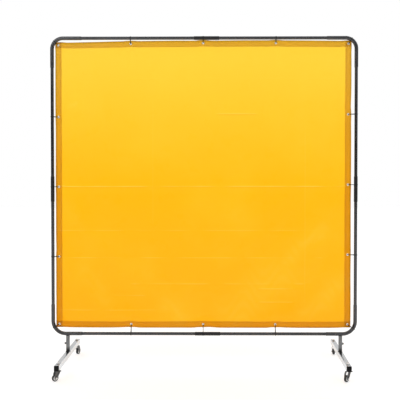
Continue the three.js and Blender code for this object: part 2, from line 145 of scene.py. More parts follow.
def circle(radius, steps):
    angle = 2 * np.pi * np.arange(steps) / steps
    return radius * np.stack([np.cos(angle), np.sin(angle)], -1)


def roundedRectangle(width, height, radius, steps=6):
    # four quarter circles, one round each corner
    quarter = np.repeat(np.arange(4), steps + 1)
    angle = np.pi / 2 * (quarter + np.tile(np.linspace(0, 1, steps + 1), 4))
    centreX = (width / 2 - radius) * np.array([1, -1, -1, 1])[quarter]
    centreY = (height / 2 - radius) * np.array([1, 1, -1, -1])[quarter]
    return np.stack([centreX + radius * np.cos(angle), centreY + radius * np.sin(angle)], -1)


def carried(path, profile, across, closed=False, scale=None):
    # a profile carried along a path: its first number runs along the path's own normal and
    # its second along the fixed direction across
    if closed:
        forward = np.roll(path, -1, 0) - np.roll(path, 1, 0)
    else:
        forward = np.gradient(path, axis=0)
    across = np.broadcast_to(unit(across), path.shape)
    normal = unit(np.cross(across, forward))
    sized = np.broadcast_to(profile, (len(path),) + profile.shape)
    if scale is not None:
        sized = sized * np.asarray(scale)[:, None, None]
    return path[:, None] + normal[:, None] * sized[..., :1] + across[:, None] * sized[..., 1:]


def hollowTube(path, across, outer, inner, steps=48, edge=0.35 * mm):
    # a tube wall along a path: the outside one way, the inside back again, with eased ends
    ends = unit(path[1] - path[0]) * edge, unit(path[-1] - path[-2]) * edge
    full = np.vstack([path[:1], path[:1] + ends[0], path[1:-1], path[-1:] - ends[1], path[-1:]])
    ease = np.zeros(len(full))
    ease[[0, -1]] = edge
    ring = circle(1, steps)
    outside = carried(full, ring, across, scale=outer - ease)
    inside = carried(full, ring, across, scale=inner + ease / 2)
    return closedGrid(np.concatenate([outside, inside[::-1]]), closeRows=True)


def turned(profile, place, steps=48, flats=None, closed=False, wave=None):
    # a profile of (radius, height) turned round the local Z axis. Flats cut it to a hexagon
    # that wide, and wave(angle, radius, height) is added to the height.
    profile = np.asarray(profile, float)
    poles = [None, None]
    if not closed:
        for end in (0, -1):
            if profile[end, 0] == 0:
                poles[end] = toWorld([0, 0, profile[end, 1]], place)
        profile = profile[1 if poles[0] is not None else 0:len(profile) - (poles[1] is not None)]
    angle = 2 * np.pi * np.arange(steps)[None, :] / steps
    radius = profile[:, :1] * np.ones_like(angle)
    height = profile[:, 1:] * np.ones_like(angle)
    if flats:
        sixth = np.pi / 3
        radius = np.minimum(radius, flats / 2 / np.cos(np.mod(angle, sixth) - sixth / 2))
    if wave:
        height = height + wave(angle, radius, height)
    points = np.stack([radius * np.cos(angle), radius * np.sin(angle), height], -1)
    return closedGrid(toWorld(points, place), closeRows=closed, poles=poles)


def beadRing(path, across, size, ripples):
    # a weld bead: a round section that swells and thins along a closed path
    swell = 1 + 0.16 * np.cos(2 * np.pi * ripples * np.arange(len(path)) / len(path))
    return closedGrid(carried(path, circle(size, 10), across, closed=True, scale=swell),
                      closeRows=True)


def saddleRing(radius, pipe, steps):
    # the line where a round part meets a thicker pipe that lies along the first axis: its
    # height is the root of the pipe's radius squared less the second number squared
    ring = circle(radius, steps)
    return np.c_[ring, np.sqrt(pipe ** 2 - ring[:, 1] ** 2)]


def addObject(name, mesh, material):
    mesh.polygons.foreach_set("use_smooth", np.ones(len(mesh.polygons), bool))
    mesh.materials.append(material)
    mesh.update()
    added = bpy.data.objects.new(name, mesh)
    scene.collection.objects.link(added)
    return added


def makePiece(name, parts, material, body, replaces=(), sharp=38):
    # joins closed skins into one named piece that rides on a body
    vertices, faces, count = [], [[], []], 0
    for points, *sets in parts:
        vertices.append(points)
        for kept, added in zip(faces, sets):
            kept += (added + count).tolist()
        count += len(points)
    mesh = bpy.data.meshes.new(name)
    mesh.from_pydata(np.vstack(vertices).tolist(), [], faces[0] + faces[1])
    piece = addObject(name, mesh, material)
    mesh.set_sharp_from_angle(angle=math.radians(sharp))
    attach(piece, body)
    if replaces:
        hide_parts(*replaces)
    return piece


def thicken(piece, thickness, edge=0):
    solid = piece.modifiers.new("thickness", "SOLIDIFY")
    solid.thickness, solid.offset = thickness, 0
    if edge:
        bevel = piece.modifiers.new("edges", "BEVEL")
        bevel.width, bevel.segments, bevel.limit_method = edge, 2, "ANGLE"
        bevel.angle_limit = math.radians(40)


# --- materials

class Finish:
    # a node tree with one Principled shader, built up by short calls

    def __init__(self, name, color, metallic, roughness, **more):
        self.material = bpy.data.materials.new(name)
        self.material.use_nodes = True
        self.nodes, self.links = self.material.node_tree.nodes, self.material.node_tree.links
        self.shader = self.nodes["Principled BSDF"]
        self.color = color
        self.shader.inputs["Base Color"].default_value = (*color, 1)
        self.shader.inputs["Metallic"].default_value = metallic
        self.shader.inputs["Roughness"].default_value = roughness
        for key, value in more.items():
            self.shader.inputs[key.replace("_", " ")].default_value = value
        self.place = self.nodes.new("ShaderNodeTexCoord").outputs["Object"]
        self.height = None

    def noise(self, scale, detail=3.0, stretch=(1, 1, 1), rough=0.5, source=None):
        mapping = self.nodes.new("ShaderNodeMapping")
        mapping.inputs["Scale"].default_value = stretch
        self.links.new(source or self.place, mapping.inputs["Vector"])
        noise = self.nodes.new("ShaderNodeTexNoise")
        noise.inputs["Scale"].default_value = scale
        noise.inputs["Detail"].default_value = detail
        noise.inputs["Roughness"].default_value = rough
        self.links.new(mapping.outputs["Vector"], noise.inputs["Vector"])
        return noise.outputs["Fac"]

    def ranged(self, value, low, high, fromLow=0.3, fromHigh=0.7):
        node = self.nodes.new("ShaderNodeMapRange")
        for key, number in (("From Min", fromLow), ("From Max", fromHigh),
                            ("To Min", low), ("To Max", high)):
            node.inputs[key].default_value = number
        self.links.new(value, node.inputs["Value"])
        return node.outputs["Result"]

    def mixed(self, share, first, second, kind="MIX"):
        node = self.nodes.new("ShaderNodeMix")
        node.data_type, node.blend_type = "RGBA", kind
        for socket, value in ((node.inputs[0], share), (node.inputs[6], first),
                              (node.inputs[7], second)):
            if isinstance(value, bpy.types.NodeSocket):
                self.links.new(value, socket)
            elif isinstance(value, (tuple, list)):
                socket.default_value = (*value, 1)
            else:
                socket.default_value = value
        return node.outputs[2]

    def setColor(self, value):
        self.links.new(value, self.shader.inputs["Base Color"])

    def setRoughness(self, value):
        self.links.new(value, self.shader.inputs["Roughness"])

    def bump(self, height, strength, distance):
        node = self.nodes.new("ShaderNodeBump")
        node.inputs["Strength"].default_value = strength
        node.inputs["Distance"].default_value = distance
        self.links.new(height, node.inputs["Height"])
        if self.height:
            self.links.new(self.height, node.inputs["Normal"])
        self.height = node.outputs["Normal"]
        self.links.new(self.height, self.shader.inputs["Normal"])

    def letThrough(self, tint, share):
        # part of the light goes through, coloured on its way
        glow = self.nodes.new("ShaderNodeBsdfTranslucent")
        self.links.new(tint, glow.inputs["Color"])
        self.links.new(self.height, glow.inputs["Normal"])
        mix = self.nodes.new("ShaderNodeMixShader")
        mix.inputs["Fac"].default_value = share
        self.links.new(self.shader.outputs[0], mix.inputs[1])
        self.links.new(glow.outputs[0], mix.inputs[2])
        self.links.new(mix.outputs[0], self.nodes["Material Output"].inputs["Surface"])


def scaled(color, factor):
    return tuple(min(1.0, channel * factor) for channel in color)


# drift: noise size and detail, and the darkest and lightest share of the colour
# spots: noise size and detail, how strong they get, where they begin and are full, their colour
# gloss: noise size and detail, and the least and most roughness
# grain: noise size and detail, strength and depth in millimetres, once for each layer
# A last group of three numbers stretches the noise.
coats = {
    "tubeSteel": {  # glossy dark grey coat: orange peel, faint rubbed streaks and a little dust
        "color": (0.085, 0.086, 0.09), "metallic": 0.9, "roughness": 0.22,
        "drift": (9, 4, 0.86, 1.12), "spots": (70, 5, 0.5, 0.52, 0.75, (0.12325, 0.1247, 0.1305)),
        "gloss": (28, 4, 0.16, 0.28),
        "grain": [(900, 2, 0.12, 0.05), (60, 3, 0.05, 0.1, (1, 1, 8))],
    },
    "postSteel": {  # a duller mid grey coat
        "color": (0.2, 0.203, 0.206), "metallic": 0.35, "roughness": 0.46,
        "drift": (35, 5, 0.85, 1.15), "gloss": (60, 4, 0.38, 0.55), "grain": [(1100, 2, 0.15, 0.05)],
    },
    "couplerBlack": {  # rubbed grey along its length
        "color": (0.012, 0.012, 0.013), "metallic": 0.3, "roughness": 0.36,
        "spots": (120, 5, 0.6, 0.58, 0.8, (0.05, 0.05, 0.052), (1, 6, 6)),
        "gloss": (45, 4, 0.28, 0.46), "grain": [(800, 2, 0.15, 0.05)],
    },
    "legChrome": {  # soft waves of the rolled tube, hairline scratches along it and dull specks
        "color": (0.77, 0.78, 0.79), "metallic": 1.0, "roughness": 0.13,
        "drift": (14, 3, 0.93, 1.06), "spots": (420, 3, 0.35, 0.66, 0.78, (0.4, 0.39, 0.37)),
        "gloss": (22, 5, 0.08, 0.19, (6, 0.6, 6)),
        "grain": [(300, 3, 0.06, 0.08, (5, 0.08, 5)), (16, 2, 0.08, 0.6)],
    },
    "zincSteel": {  # stamped and zinc plated: grey with pale clouds
        "color": (0.13, 0.131, 0.134), "metallic": 1.0, "roughness": 0.28,
        "spots": (75, 4, 0.6, 0.3, 0.7, (0.1755, 0.17685, 0.1809)),
        "gloss": (160, 4, 0.24, 0.44), "grain": [(700, 3, 0.2, 0.06)],
    },
    "darkBolt": {
        "color": (0.1, 0.1, 0.105), "metallic": 0.9, "roughness": 0.4,
        "drift": (300, 4, 0.6, 1.6), "gloss": (260, 3, 0.3, 0.52), "grain": [(900, 2, 0.15, 0.05)],
    },
    "hubSteel": {
        "color": (0.88, 0.88, 0.87), "metallic": 0.1, "roughness": 0.3,
        "drift": (320, 4, 0.85, 1.1), "gloss": (180, 3, 0.3, 0.46), "grain": [(900, 2, 0.15, 0.05)],
    },
    "brightZinc": {  # the fasteners are plated brighter than the stamped parts
        "color": (0.86, 0.865, 0.87), "metallic": 0.55, "roughness": 0.22,
        "drift": (380, 4, 0.82, 1.12), "gloss": (240, 3, 0.22, 0.4), "grain": [(900, 2, 0.12, 0.05)],
    },
    "eyeletNickel": {  # nickel over brass: bright, with warm worn spots
        "color": (0.93, 0.86, 0.7), "metallic": 1.0, "roughness": 0.26,
        "spots": (500, 4, 0.7, 0.45, 0.75, (0.62, 0.47, 0.28)),
        "gloss": (400, 3, 0.16, 0.36), "grain": [(900, 2, 0.12, 0.04)],
    },
    "capPlastic": {  # moulded, with a fine spark-eroded grain
        "color": (0.003, 0.003, 0.0035), "metallic": 0, "roughness": 0.46, "specular": 0.2,
        "drift": (90, 4, 0.8, 1.3), "gloss": (220, 3, 0.391, 0.552), "grain": [(700, 3, 0.25, 0.08)],
    },
    "tieNylon": {
        "color": (0.012, 0.012, 0.012), "metallic": 0, "roughness": 0.42, "specular": 0.2,
        "drift": (90, 4, 0.8, 1.3), "gloss": (220, 3, 0.357, 0.504), "grain": [(1200, 3, 0.25, 0.08)],
    },
    "wheelRubber": {  # dark rubber, dusty where it rolls
        "color": (0.026, 0.026, 0.028), "metallic": 0, "roughness": 0.62,
        "spots": (260, 5, 0.45, 0.5, 0.75, (0.13, 0.125, 0.12)),
        "gloss": (130, 3, 0.52, 0.75), "grain": [(1400, 2, 0.3, 0.06)],
    },
    "threadYellow": {
        "color": (0.95, 0.6, 0.2), "metallic": 0, "roughness": 0.62, "glow": 0.7,
        "drift": (600, 3, 0.85, 1.1), "gloss": (500, 2, 0.5, 0.75), "grain": [(3000, 1, 0.4, 0.1)],
    },
}


def coated(name, under=None, over=None):
    # one material: under(f) makes its first colour instead of the drift, and over(f, tint)
    # lays a last mark on it
    coat = coats[name]
    more = {"Specular_IOR_Level": coat["specular"]} if "specular" in coat else {}
    f = Finish(name, coat["color"], coat["metallic"], coat["roughness"], **more)
    tint = under(f) if under else f.color
    if "drift" in coat:
        size, detail, dark, light = coat["drift"]
        tint = f.mixed(f.ranged(f.noise(size, detail), 0, 1), scaled(f.color, dark), scaled(f.color, light))
    if "spots" in coat:
        size, detail, share, start, full, color, *stretch = coat["spots"]
        tint = f.mixed(f.ranged(f.noise(size, detail, *stretch), 0, share, start, full), tint, color)
    if over:
        tint = over(f, tint)
    f.setColor(tint)
    size, detail, low, high, *stretch = coat["gloss"]
    f.setRoughness(f.ranged(f.noise(size, detail, *stretch), low, high))
    for size, detail, strength, depth, *stretch in coat["grain"]:
        f.bump(f.noise(size, detail, *stretch), strength, depth * mm)
    if "glow" in coat:
        f.letThrough(tint, coat["glow"])
    return f.material


def spangle(f):
    # small grains of the zinc
    cells = f.nodes.new("ShaderNodeTexVoronoi")
    cells.inputs["Scale"].default_value = 1500
    f.links.new(f.place, cells.inputs["Vector"])
    grains = f.ranged(cells.outputs["Distance"], 0, 1, 0, 0.8)
    return f.mixed(grains, scaled(f.color, 0.88), scaled(f.color, 1.12))


def darkPostFoot(f, tint):
    # the lowest part of a post, next to its weld, is painted near black
    split = f.nodes.new("ShaderNodeSeparateXYZ")
    f.links.new(f.place, split.inputs[0])
    return f.mixed(f.ranged(split.outputs["Z"], 1, 0, 0.103, 0.122), tint, (0.008, 0.008, 0.009))


def paintedPostReflection(f, tint):
    # painted reflection of the dark post: a dark mark on the plating round the foot of each post, by the
    # distance from the nearer one
    fold = f.nodes.new("ShaderNodeVectorMath")
    fold.operation = "ABSOLUTE"
    f.links.new(f.place, fold.inputs[0])
    apart = f.nodes.new("ShaderNodeVectorMath")
    apart.operation = "DISTANCE"
    f.links.new(fold.outputs[0], apart.inputs[0])
    apart.inputs[1].default_value = (abs(joints["leg_turn_left"]["pos_m"][0]), 0, 0.093)
    postReflectionShare = f.ranged(apart.outputs["Value"], 0.95, 0, 0.0125, 0.0175)
    return f.mixed(postReflectionShare, tint, (0.035, 0.033, 0.034))


vinyl = {
    "top": (1.0, 0.785, 0.17),  # colour of one skin at the top edge of the sheet; with middle and bottom below it this is painted light, lighter towards the top where more light falls from above
    "middle": (1.0, 0.69, 0.04),
    "bottom": (1.0, 0.66, 0.05),
    "cloud": (1.0, 0.82, 0.2),
    # layers painted onto the film: light on rubbed fold crests, painted shade under each fold, and painted
    # sheen along the drag lines with one scuff among them
    "painted": {"sheenAndScuffs": (1.0, 0.8, 0.2), "shade": (0.96, 0.6, 0.05), "crease": (1.0, 0.84, 0.26)},
    "hem": (0.86, 0.78, 0.54),
    "glow": 0.86,  # share of the light that goes through instead of off the surface
    "roughness": 0.3,
}


def sheetVinyl(name, hem=False):
    # see-through film: cloudy colour, soft gloss, fold marks and fine handling wrinkles.
    # Patterns follow the sheet by its own flat coordinates.
    f = Finish(name, vinyl["hem"] if hem else vinyl["middle"], 0, vinyl["roughness"], Coat_Weight=0.25,
               Coat_Roughness=0.12)
    flat = f.nodes.new("ShaderNodeUVMap")
    flat.uv_map = "flat"
    flat = flat.outputs["UV"]
    if hem:
        tint = f.mixed(f.ranged(f.noise(5, 4, source=flat), 0, 1), f.color, scaled(f.color, 0.95))
    else:
        split = f.nodes.new("ShaderNodeSeparateXYZ")
        f.links.new(flat, split.inputs[0])
        # painted light: from bottom to middle to top the film gets lighter, as where more light falls from
        # above
        lower = f.mixed(f.ranged(split.outputs["Y"], 0, 1, 0, 0.8), vinyl["bottom"], vinyl["middle"])
        full = f.mixed(f.ranged(split.outputs["Y"], 0, 1, 0.8, 1.6), lower, vinyl["top"])
        clouds = f.ranged(f.noise(2.1, 6, source=flat), 0, 0.2, 0.45, 0.75)
        tint = f.mixed(clouds, full, vinyl["cloud"])
        # the painted layers: rubbed fold crests, painted shade under the folds, and painted sheen on the drag
        # lines with one scuff
        for layer, color in vinyl["painted"].items():
            painted = f.nodes.new("ShaderNodeAttribute")
            painted.attribute_name = layer
            tint = f.mixed(painted.outputs["Fac"], tint, color)
    f.setColor(tint)
    f.setRoughness(f.ranged(f.noise(11, 5, source=flat), 0.22, 0.42))
    f.bump(f.noise(3.5, 5, (1, 2.2, 1), 0.55, flat), 0.35, 3 * mm)
    f.bump(f.noise(38, 4, (1, 1.6, 1), 0.6, flat), 0.16, 0.6 * mm)
    f.letThrough(tint, vinyl["glow"])
    return f.material


finish = {
    "tube": coated("tubeSteel"),
    "post": coated("postSteel", over=darkPostFoot),
    "coupler": coated("couplerBlack"),
    # the plating is painted dark round the foot of each post, as the post's reflection
    "chrome": coated("legChrome", over=paintedPostReflection),
    "zinc": coated("zincSteel", under=spangle),
    "bolt": coated("darkBolt"),
    "cap": coated("capPlastic"),
    "tie": coated("tieNylon"),
    "rubber": coated("wheelRubber"),
    "hub": coated("hubSteel"),
    "bright": coated("brightZinc"),
    "eyelet": coated("eyeletNickel"),
    "thread": coated("threadYellow"),
    "sheet": sheetVinyl("sheetVinyl"),
    "hem": sheetVinyl("hemVinyl", hem=True),
}
print("materials ready")


# --- tube frame

tubing = {"radius": 9.5 * mm, "wall": 1.2 * mm, "sleeveRadius": 11 * mm, "sleeveWall": 1.2 * mm}
bends = {"top": 64 * mm, "bottom": 76 * mm, "steps": 28}
sideways = {"top": "x", "bottom": "x", "left": "z", "right": "z"}


def straightPath(node, along):
    # the centre line of a straight node, from end to end
    low, high = nodeBox(node)
    axis = "xyz".index(along)
    start = (low + high) / 2
    end = start.copy()
    start[axis], end[axis] = low[axis], high[axis]
    return np.linspace(start, end, 4)


def makeTubes():
    # name ending, outer radius, wall, eased edge, finish and slot
    kinds = {
        "tube": ("wall", tubing["radius"], tubing["wall"], 0.35 * mm, "tube", "tube_steel"),
        "coupler": ("sleeve", tubing["sleeveRadius"], tubing["sleeveWall"], 0.5 * mm, "coupler",
                    "coupler_black"),
    }
    for node in frame["nodes"]:
        kind, *where = node.split("_")
        if kind not in kinds:
            continue
        ending, radius, wall, edge, look, slot = kinds[kind]
        path = straightPath(node, sideways[where[0]])
        skin = hollowTube(path, backward, radius, radius - wall, edge=edge)
        makePiece(f"{node}_{ending}", [skin], finish[look], "frame", [node])


def cornerPath(node):
    # a straight run in from one mouth, a quarter circle, and a straight run to the other mouth
    row, column = node.split("_")[1:]
    low, high = nodeBox(node)
    right, top = column == "right", row == "top"
    radius = tubing["sleeveRadius"]
    lineX = high[0] - radius if right else low[0] + radius
    lineZ = high[2] - radius if top else nodeBox(f"tube_{row}_{column}")[0][2] + tubing["radius"]
    mouthX = low[0] if right else high[0]
    mouthZ = low[2] if top else high[2]
    bend = bends[row]
    inX, inZ = (-1 if right else 1), (-1 if top else 1)
    angle = np.linspace(0, np.pi / 2, bends["steps"])
    arc = np.stack([lineX + inX * bend * (1 - np.sin(angle)), 0 * angle,
                    lineZ + inZ * bend * (1 - np.cos(angle))], -1)
    first = np.linspace([mouthX, 0, lineZ], arc[0], 5)[:-1]
    last = np.linspace(arc[-1], [lineX, 0, mouthZ], 5)[1:]
    return np.vstack([first, arc, last]), lineZ


def makeCorners():
    sleeve, stub = tubing["sleeveRadius"], tubing["radius"]
    for row in ("top", "bottom"):
        for column in ("left", "right"):
            node = f"corner_{row}_{column}"
            path, lineZ = cornerPath(node)
            parts = [hollowTube(path, backward, sleeve, sleeve - tubing["sleeveWall"], edge=0.5 * mm)]
            if row == "bottom":  # the stub that stands in the leg's post, and its weld
                x = joints[f"leg_turn_{column}"]["pos_m"][0]
                line = np.linspace([x, 0, lineZ - stub], [x, 0, nodeBox(node)[0][2]], 4)
                parts.append(hollowTube(line, backward, stub, stub - tubing["wall"]))
                ring = np.array([x, 0, lineZ]) + saddleRing(stub, sleeve, 120) * np.array([1, 1, -1])
                parts.append(beadRing(ring, upward, 1.5 * mm, 26))
            makePiece(f"{node}_bend", parts, finish["tube"], "frame", [node])


makeTubes()
makeCorners()
print("tube frame ready")


# --- eyelets: where they are, and what they look like

hemSize = 37 * mm
eyeletForm = {
    "inset": 18.5 * mm,  # edge of the sheet to the middle of an eyelet
    "spaces": 4,
    "leftDrop": 12 * mm,  # the middle ones of the left side sit lower
    "outer": 7.3 * mm,
    "hole": 4.2 * mm,
    "stand": 1.25 * mm,  # from the middle of the sheet
    "skin": 0.35 * mm,  # room for the film between the rim and the washer
    "washer": 6.9 * mm,
}
sheetLow, sheetHigh = nodeBox("curtain")
sheetSpan = sheetHigh - sheetLow
sheetY = (sheetLow[1] + sheetHigh[1]) / 2



def bowed(x, z):
    # the film is pulled up a little more at the middle of its top edge than at its corners
    share = np.clip((z - sheetLow[2]) / sheetSpan[2], 0, 1) ** 3
    part = x / sheetHigh[0]
    return share * (6 + 3.5 * part - 8 * part * part) * mm


def eyeletPlaces():
    # name, middle before the bow, outward direction, distance to the tube's centre line and
    # its radius
    left, right = sheetLow[0] + eyeletForm["inset"], sheetHigh[0] - eyeletForm["inset"]
    low, high = sheetLow[2] + eyeletForm["inset"], sheetHigh[2] - eyeletForm["inset"]
    lineX = {side: straightPath(f"tube_{side}_lower", "z")[0][0] for side in ("left", "right")}
    lineZ = {row: straightPath(f"tube_{row}_left", "x")[0][2] for row in ("top", "bottom")}
    places = []
    for i in range(1, eyeletForm["spaces"]):
        share = i / eyeletForm["spaces"]
        x, z = left + (right - left) * share, low + (high - low) * share
        pipe = tubing["sleeveRadius"] if share == 0.5 else tubing["radius"]
        top, drop = high + bowed(x, high), z - eyeletForm["leftDrop"]
        places += [
            (f"top_{i}", x, high, 0, 1, lineZ["top"] - top, pipe),
            (f"bottom_{i}", x, low, 0, -1, low - lineZ["bottom"], pipe),
            (f"left_{i}", left, drop, -1, 0, left - lineX["left"], pipe),
            (f"right_{i}", right, z, 1, 0, lineX["right"] - right, pipe),
        ]
    for row, z in (("top", high), ("bottom", low)):
        inward = -1 if row == "top" else 1
        centreZ = lineZ[row] + inward * bends[row]
        for column, x in (("left", left), ("right", right)):
            level = z + bowed(x, z)
            centreX = lineX[column] + (bends[row] if column == "left" else -bends[row])
            outX, outZ = x - centreX, level - centreZ
            distance = math.hypot(outX, outZ)
            places.append((f"{row}_{column}", x, z, outX / distance, outZ / distance,
                           bends[row] - distance, tubing["sleeveRadius"]))
    return places


eyelets = eyeletPlaces()


def makeEyelets():
    # a rolled rim on the front, a barrel through the sheet and a washer rolled over behind
    outer, hole, stand = eyeletForm["outer"], eyeletForm["hole"], eyeletForm["stand"]
    skin, washer, middle = eyeletForm["skin"], eyeletForm["washer"], (outer + hole) / 2
    outline = [  # radius, height in front of the sheet's middle and how far the point is eased
        (hole, -0.8 * stand, 0.4 * mm), (hole, 0.7 * stand, 0.8 * mm), (middle, 1.12 * stand, 1.4 * mm),
        (outer, 0.55 * stand, 0.5 * mm), (outer, skin, 0.1 * mm), (hole + skin, skin, 0.1 * mm),
        (hole + skin, -skin, 0.1 * mm), (washer, -skin, 0.2 * mm), (washer, -0.6 * stand, 0.2 * mm),
        (middle, -0.95 * stand, 0.2 * mm),
    ]
    profile = rounded([point[:2] for point in outline], [point[2] for point in outline], 4)
    made = []
    for name, x, z, *_ in eyelets:
        place = placeAt([x, sheetY, z + bowed(x, z)], [1, 0, 0], -backward)
        made.append(makePiece(f"eyelet_{name}", [turned(profile, place, 40, closed=True)],
                              finish["eyelet"], "frame"))
    return made


# --- cable ties

tieForm = {
    "width": 3.6 * mm, "thickness": 1.1 * mm, "bandEdge": 0.35 * mm,
    "hemGap": 0.5 * mm, "tubeGap": 0.7 * mm, "hemThickness": 1.2 * mm,
    "eyeTurn": 1.4 * mm,  # radius of the turn inside the eyelet
    "head": (6.5 * mm, 5.4 * mm, 4 * mm), "headEdge": 0.9 * mm,
    "headPlace": 0.6,  # as a share of the way from the eyelet to the hem's edge
    "tail": 8 * mm, "tailWidth": 0.92, "tailRoot": 0.6 * mm, "tailEdge": 0.3 * mm,
    "points": 96,
}


def tieLoop(outX, outZ, reach, pipe):
    # the tight loop round four circles: two rims of the eyelet, the hem's edge and the tube.
    # Its first number runs outwards and its second backwards.
    most, least = max(abs(outX), abs(outZ)), min(abs(outX), abs(outZ))
    hem = (eyeletForm["inset"] + least * tieForm["width"] / 2) / most
    half = tieForm["thickness"] / 2
    rim = eyeletForm["stand"]
    rings = [
        (0, sheetY - rim, tieForm["eyeTurn"]), (0, sheetY + rim, tieForm["eyeTurn"]),
        (hem, sheetY, tieForm["hemThickness"] / 2 + tieForm["hemGap"]),
        (reach, 0, pipe + tieForm["tubeGap"]),
    ]
    points = np.vstack([np.array([a, b]) + circle(radius + half, 90) for a, b, radius in rings])
    hull = points[geometry.convex_hull_2d([tuple(point) for point in points])]
    closed = np.vstack([hull, hull[:1]])
    travelled = np.append(0, np.linalg.norm(np.diff(closed, axis=0), axis=1).cumsum())
    even = np.linspace(0, travelled[-1], tieForm["points"], endpoint=False)
    loop = np.stack([np.interp(even, travelled, closed[:, i]) for i in range(2)], -1)
    return loop, hem


def blockAlongZ(width, depth, fromZ, toZ, place, radius):
    # a block with rounded edges: rounded rectangles that draw in near both ends
    rise = np.array([0, 0.35, 1]) * radius
    inset = radius - np.sqrt(radius ** 2 - (radius - rise) ** 2)
    heights = np.append(fromZ + rise, (toZ - rise)[::-1])
    rows = []
    for level, drawn in zip(heights, np.append(inset, inset[::-1])):
        ring = roundedRectangle(width - 2 * drawn, depth - 2 * drawn, max(radius - drawn, radius / 4), 3)
        rows.append(np.c_[ring, np.full(len(ring), level)])
    poles = [toWorld([0, 0, level], place) for level in (fromZ, toZ)]
    return closedGrid(toWorld(np.stack(rows), place), poles=poles)


def makeTies():
    width, thickness = tieForm["width"], tieForm["thickness"]
    length, depth, height = tieForm["head"]
    band = roundedRectangle(thickness, width, tieForm["bandEdge"], 2)
    foot = sheetY + tieForm["hemThickness"] / 2 + tieForm["hemGap"]
    names = []
    for name, x, z, outX, outZ, reach, pipe in eyelets:
        z += bowed(x, z)
        loop, hem = tieLoop(outX, outZ, reach, pipe)
        outward, across = np.array([outX, 0, outZ]), np.array([-outZ, 0, outX])
        path = np.array([x, 0, z]) + loop[:, :1] * outward + loop[:, 1:] * backward
        headAt = np.array([x, foot, z]) + hem * tieForm["headPlace"] * outward
        place = placeAt(headAt, outward, backward)
        parts = [
            closedGrid(carried(path, band, across, closed=True), closeRows=True),
            blockAlongZ(length, depth, 0.1 * mm, height, place, tieForm["headEdge"]),
            blockAlongZ(thickness, width * tieForm["tailWidth"], height - tieForm["tailRoot"],
                        height + tieForm["tail"], place, tieForm["tailEdge"]),
        ]
        piece = makePiece(f"tie_{name}_loop", parts, finish["tie"], "frame", [f"tie_{name}"])
        names.append(piece.name)
    return names


eyeletPieces = makeEyelets()
tieNames = makeTies()
print("eyelets and ties ready")


# --- the vinyl sheet

sheetForm = {
    "thickness": 0.5 * mm,
    "cell": 9.5 * mm,  # usual distance between grid lines
    "holeReach": 5.2 * mm,  # the sheet's holes end under the eyelets' rims
    "hemGap": 0.62 * mm,  # middle of the sheet to the middle of the folded hem
    "waveLimit": 9 * mm,
    "sideLimit": 3 * mm,
}
hanging = {
    "points": 64,  # on each side of the coarse cloth
    "steps": 45,
    "ease": 0.0035,  # how much longer the film is than the room between its eyelets
}
# fold marks from storage: place as a share of the height, depth, which part of the width, and
# how broken the mark is
foldMarks = [
    (0.4956, 2.5 * mm, (0.0, 1.0), 0.6), (0.341, 1.1 * mm, (0.0, 0.88), 0.7),
    (0.246, 1.4 * mm, (0.0, 0.9), 0.8), (0.154, 1.5 * mm, (0.26, 0.84), 1.0),
    (0.747, 2.8 * mm, (0.55, 0.68), 0.2), (0.87, 0.4 * mm, (0.2, 1.0), 0.9),
    (0.062, 1.2 * mm, (0.0, 0.42), 1.0), (0.09, 1.6 * mm, (0.69, 0.8), 0.5),
    (0.137, 1.6 * mm, (0.69, 0.8), 0.4), (0.113, 1.0 * mm, (0.2, 0.3), 0.6),
]
uprightMarks = [(0.844, 0.5 * mm, (0.05, 0.75)), (0.33, 0.3 * mm, (0.3, 0.9))]
foldLook = {
    "full": 2.6 * mm,  # depth of a fold that is rubbed fully light
    "rubbed": 1.7 * mm,  # half width of the light line on its crest
    "shadeDrop": 4.5 * mm,  # from the crest to the middle of its shaded side
    "shadeWidth": 2.2 * mm,
    "reach": 16 * mm,  # how far the ridge runs out on both sides
    "uprightReach": 20 * mm,
}
# painted sheen: soft light bands where the film drags, and the sixth band a scuff: from here to there, half
# width and strength
sheenAndScuffBands = [
    ((0.92, 0.36), (0.76, 0.22), 0.024, 0.26), ((0.8, 0.22), (0.56, 0.02), 0.06, 0.24),
    ((1.0, 0.18), (0.83, 0.03), 0.03, 0.22), ((0.08, 0.23), (0.19, 0.07), 0.03, 0.15),
    ((0.36, 0.1), (0.45, 0.01), 0.024, 0.22), ((0.04, 0.775), (0.075, 0.79), 0.007, 0.4),
    ((0.84, 0.9), (0.83, 0.6), 0.022, 0.1),
]


def gridLines(low, high, stops, fineAt):
    # lines an even cell apart, with a line on every stop and closer ones beside the folds
    stops = np.unique(np.round(np.concatenate([[low, high], stops]), 7))
    lines = [np.linspace(a, b, max(1, round((b - a) / sheetForm["cell"])) + 1)[:-1]
             for a, b in zip(stops[:-1], stops[1:])]
    lines = np.append(np.concatenate(lines), high)
    near = (fineAt[:, None] + np.array([-2.5, -1.0, 1.0, 2.5]) * mm).ravel()
    keep = np.abs(near[:, None] - stops[None, :]).min(1) > 0.8 * mm
    lines = np.concatenate([lines, near[keep]])
    lines = np.sort(lines)
    return lines[np.append(True, np.diff(lines) > 0.4 * mm)]


def sheetLines():
    # grid lines along X and along Z: they meet the holes, the hems and the folds
    reach = sheetForm["holeReach"] * np.array([-1, 0, 1])
    lines = []
    for axis, column, marks in ((0, 1, uprightMarks), (2, 2, foldMarks)):
        low, high = sheetLow[axis], sheetHigh[axis]
        eyes = np.unique(np.round([place[column] for place in eyelets], 6))
        folds = low + sheetSpan[axis] * np.array([mark[0] for mark in marks])
        stops = np.concatenate([(eyes[:, None] + reach).ravel(), [low + hemSize, high - hemSize], folds])
        lines.append(gridLines(low, high, stops, folds))
    return lines


def splineWeights(at, knots):
    # rows of cubic B-spline weights, which carry values from even knots to any place
    distance = np.abs(at[:, None] - knots[None, :]) / (knots[1] - knots[0])
    near, far = (4 - 6 * distance ** 2 + 3 * distance ** 3) / 6, (2 - distance) ** 3 / 6
    weights = np.where(distance < 1, near, np.where(distance < 2, far, 0))
    return weights / weights.sum(1, keepdims=True)


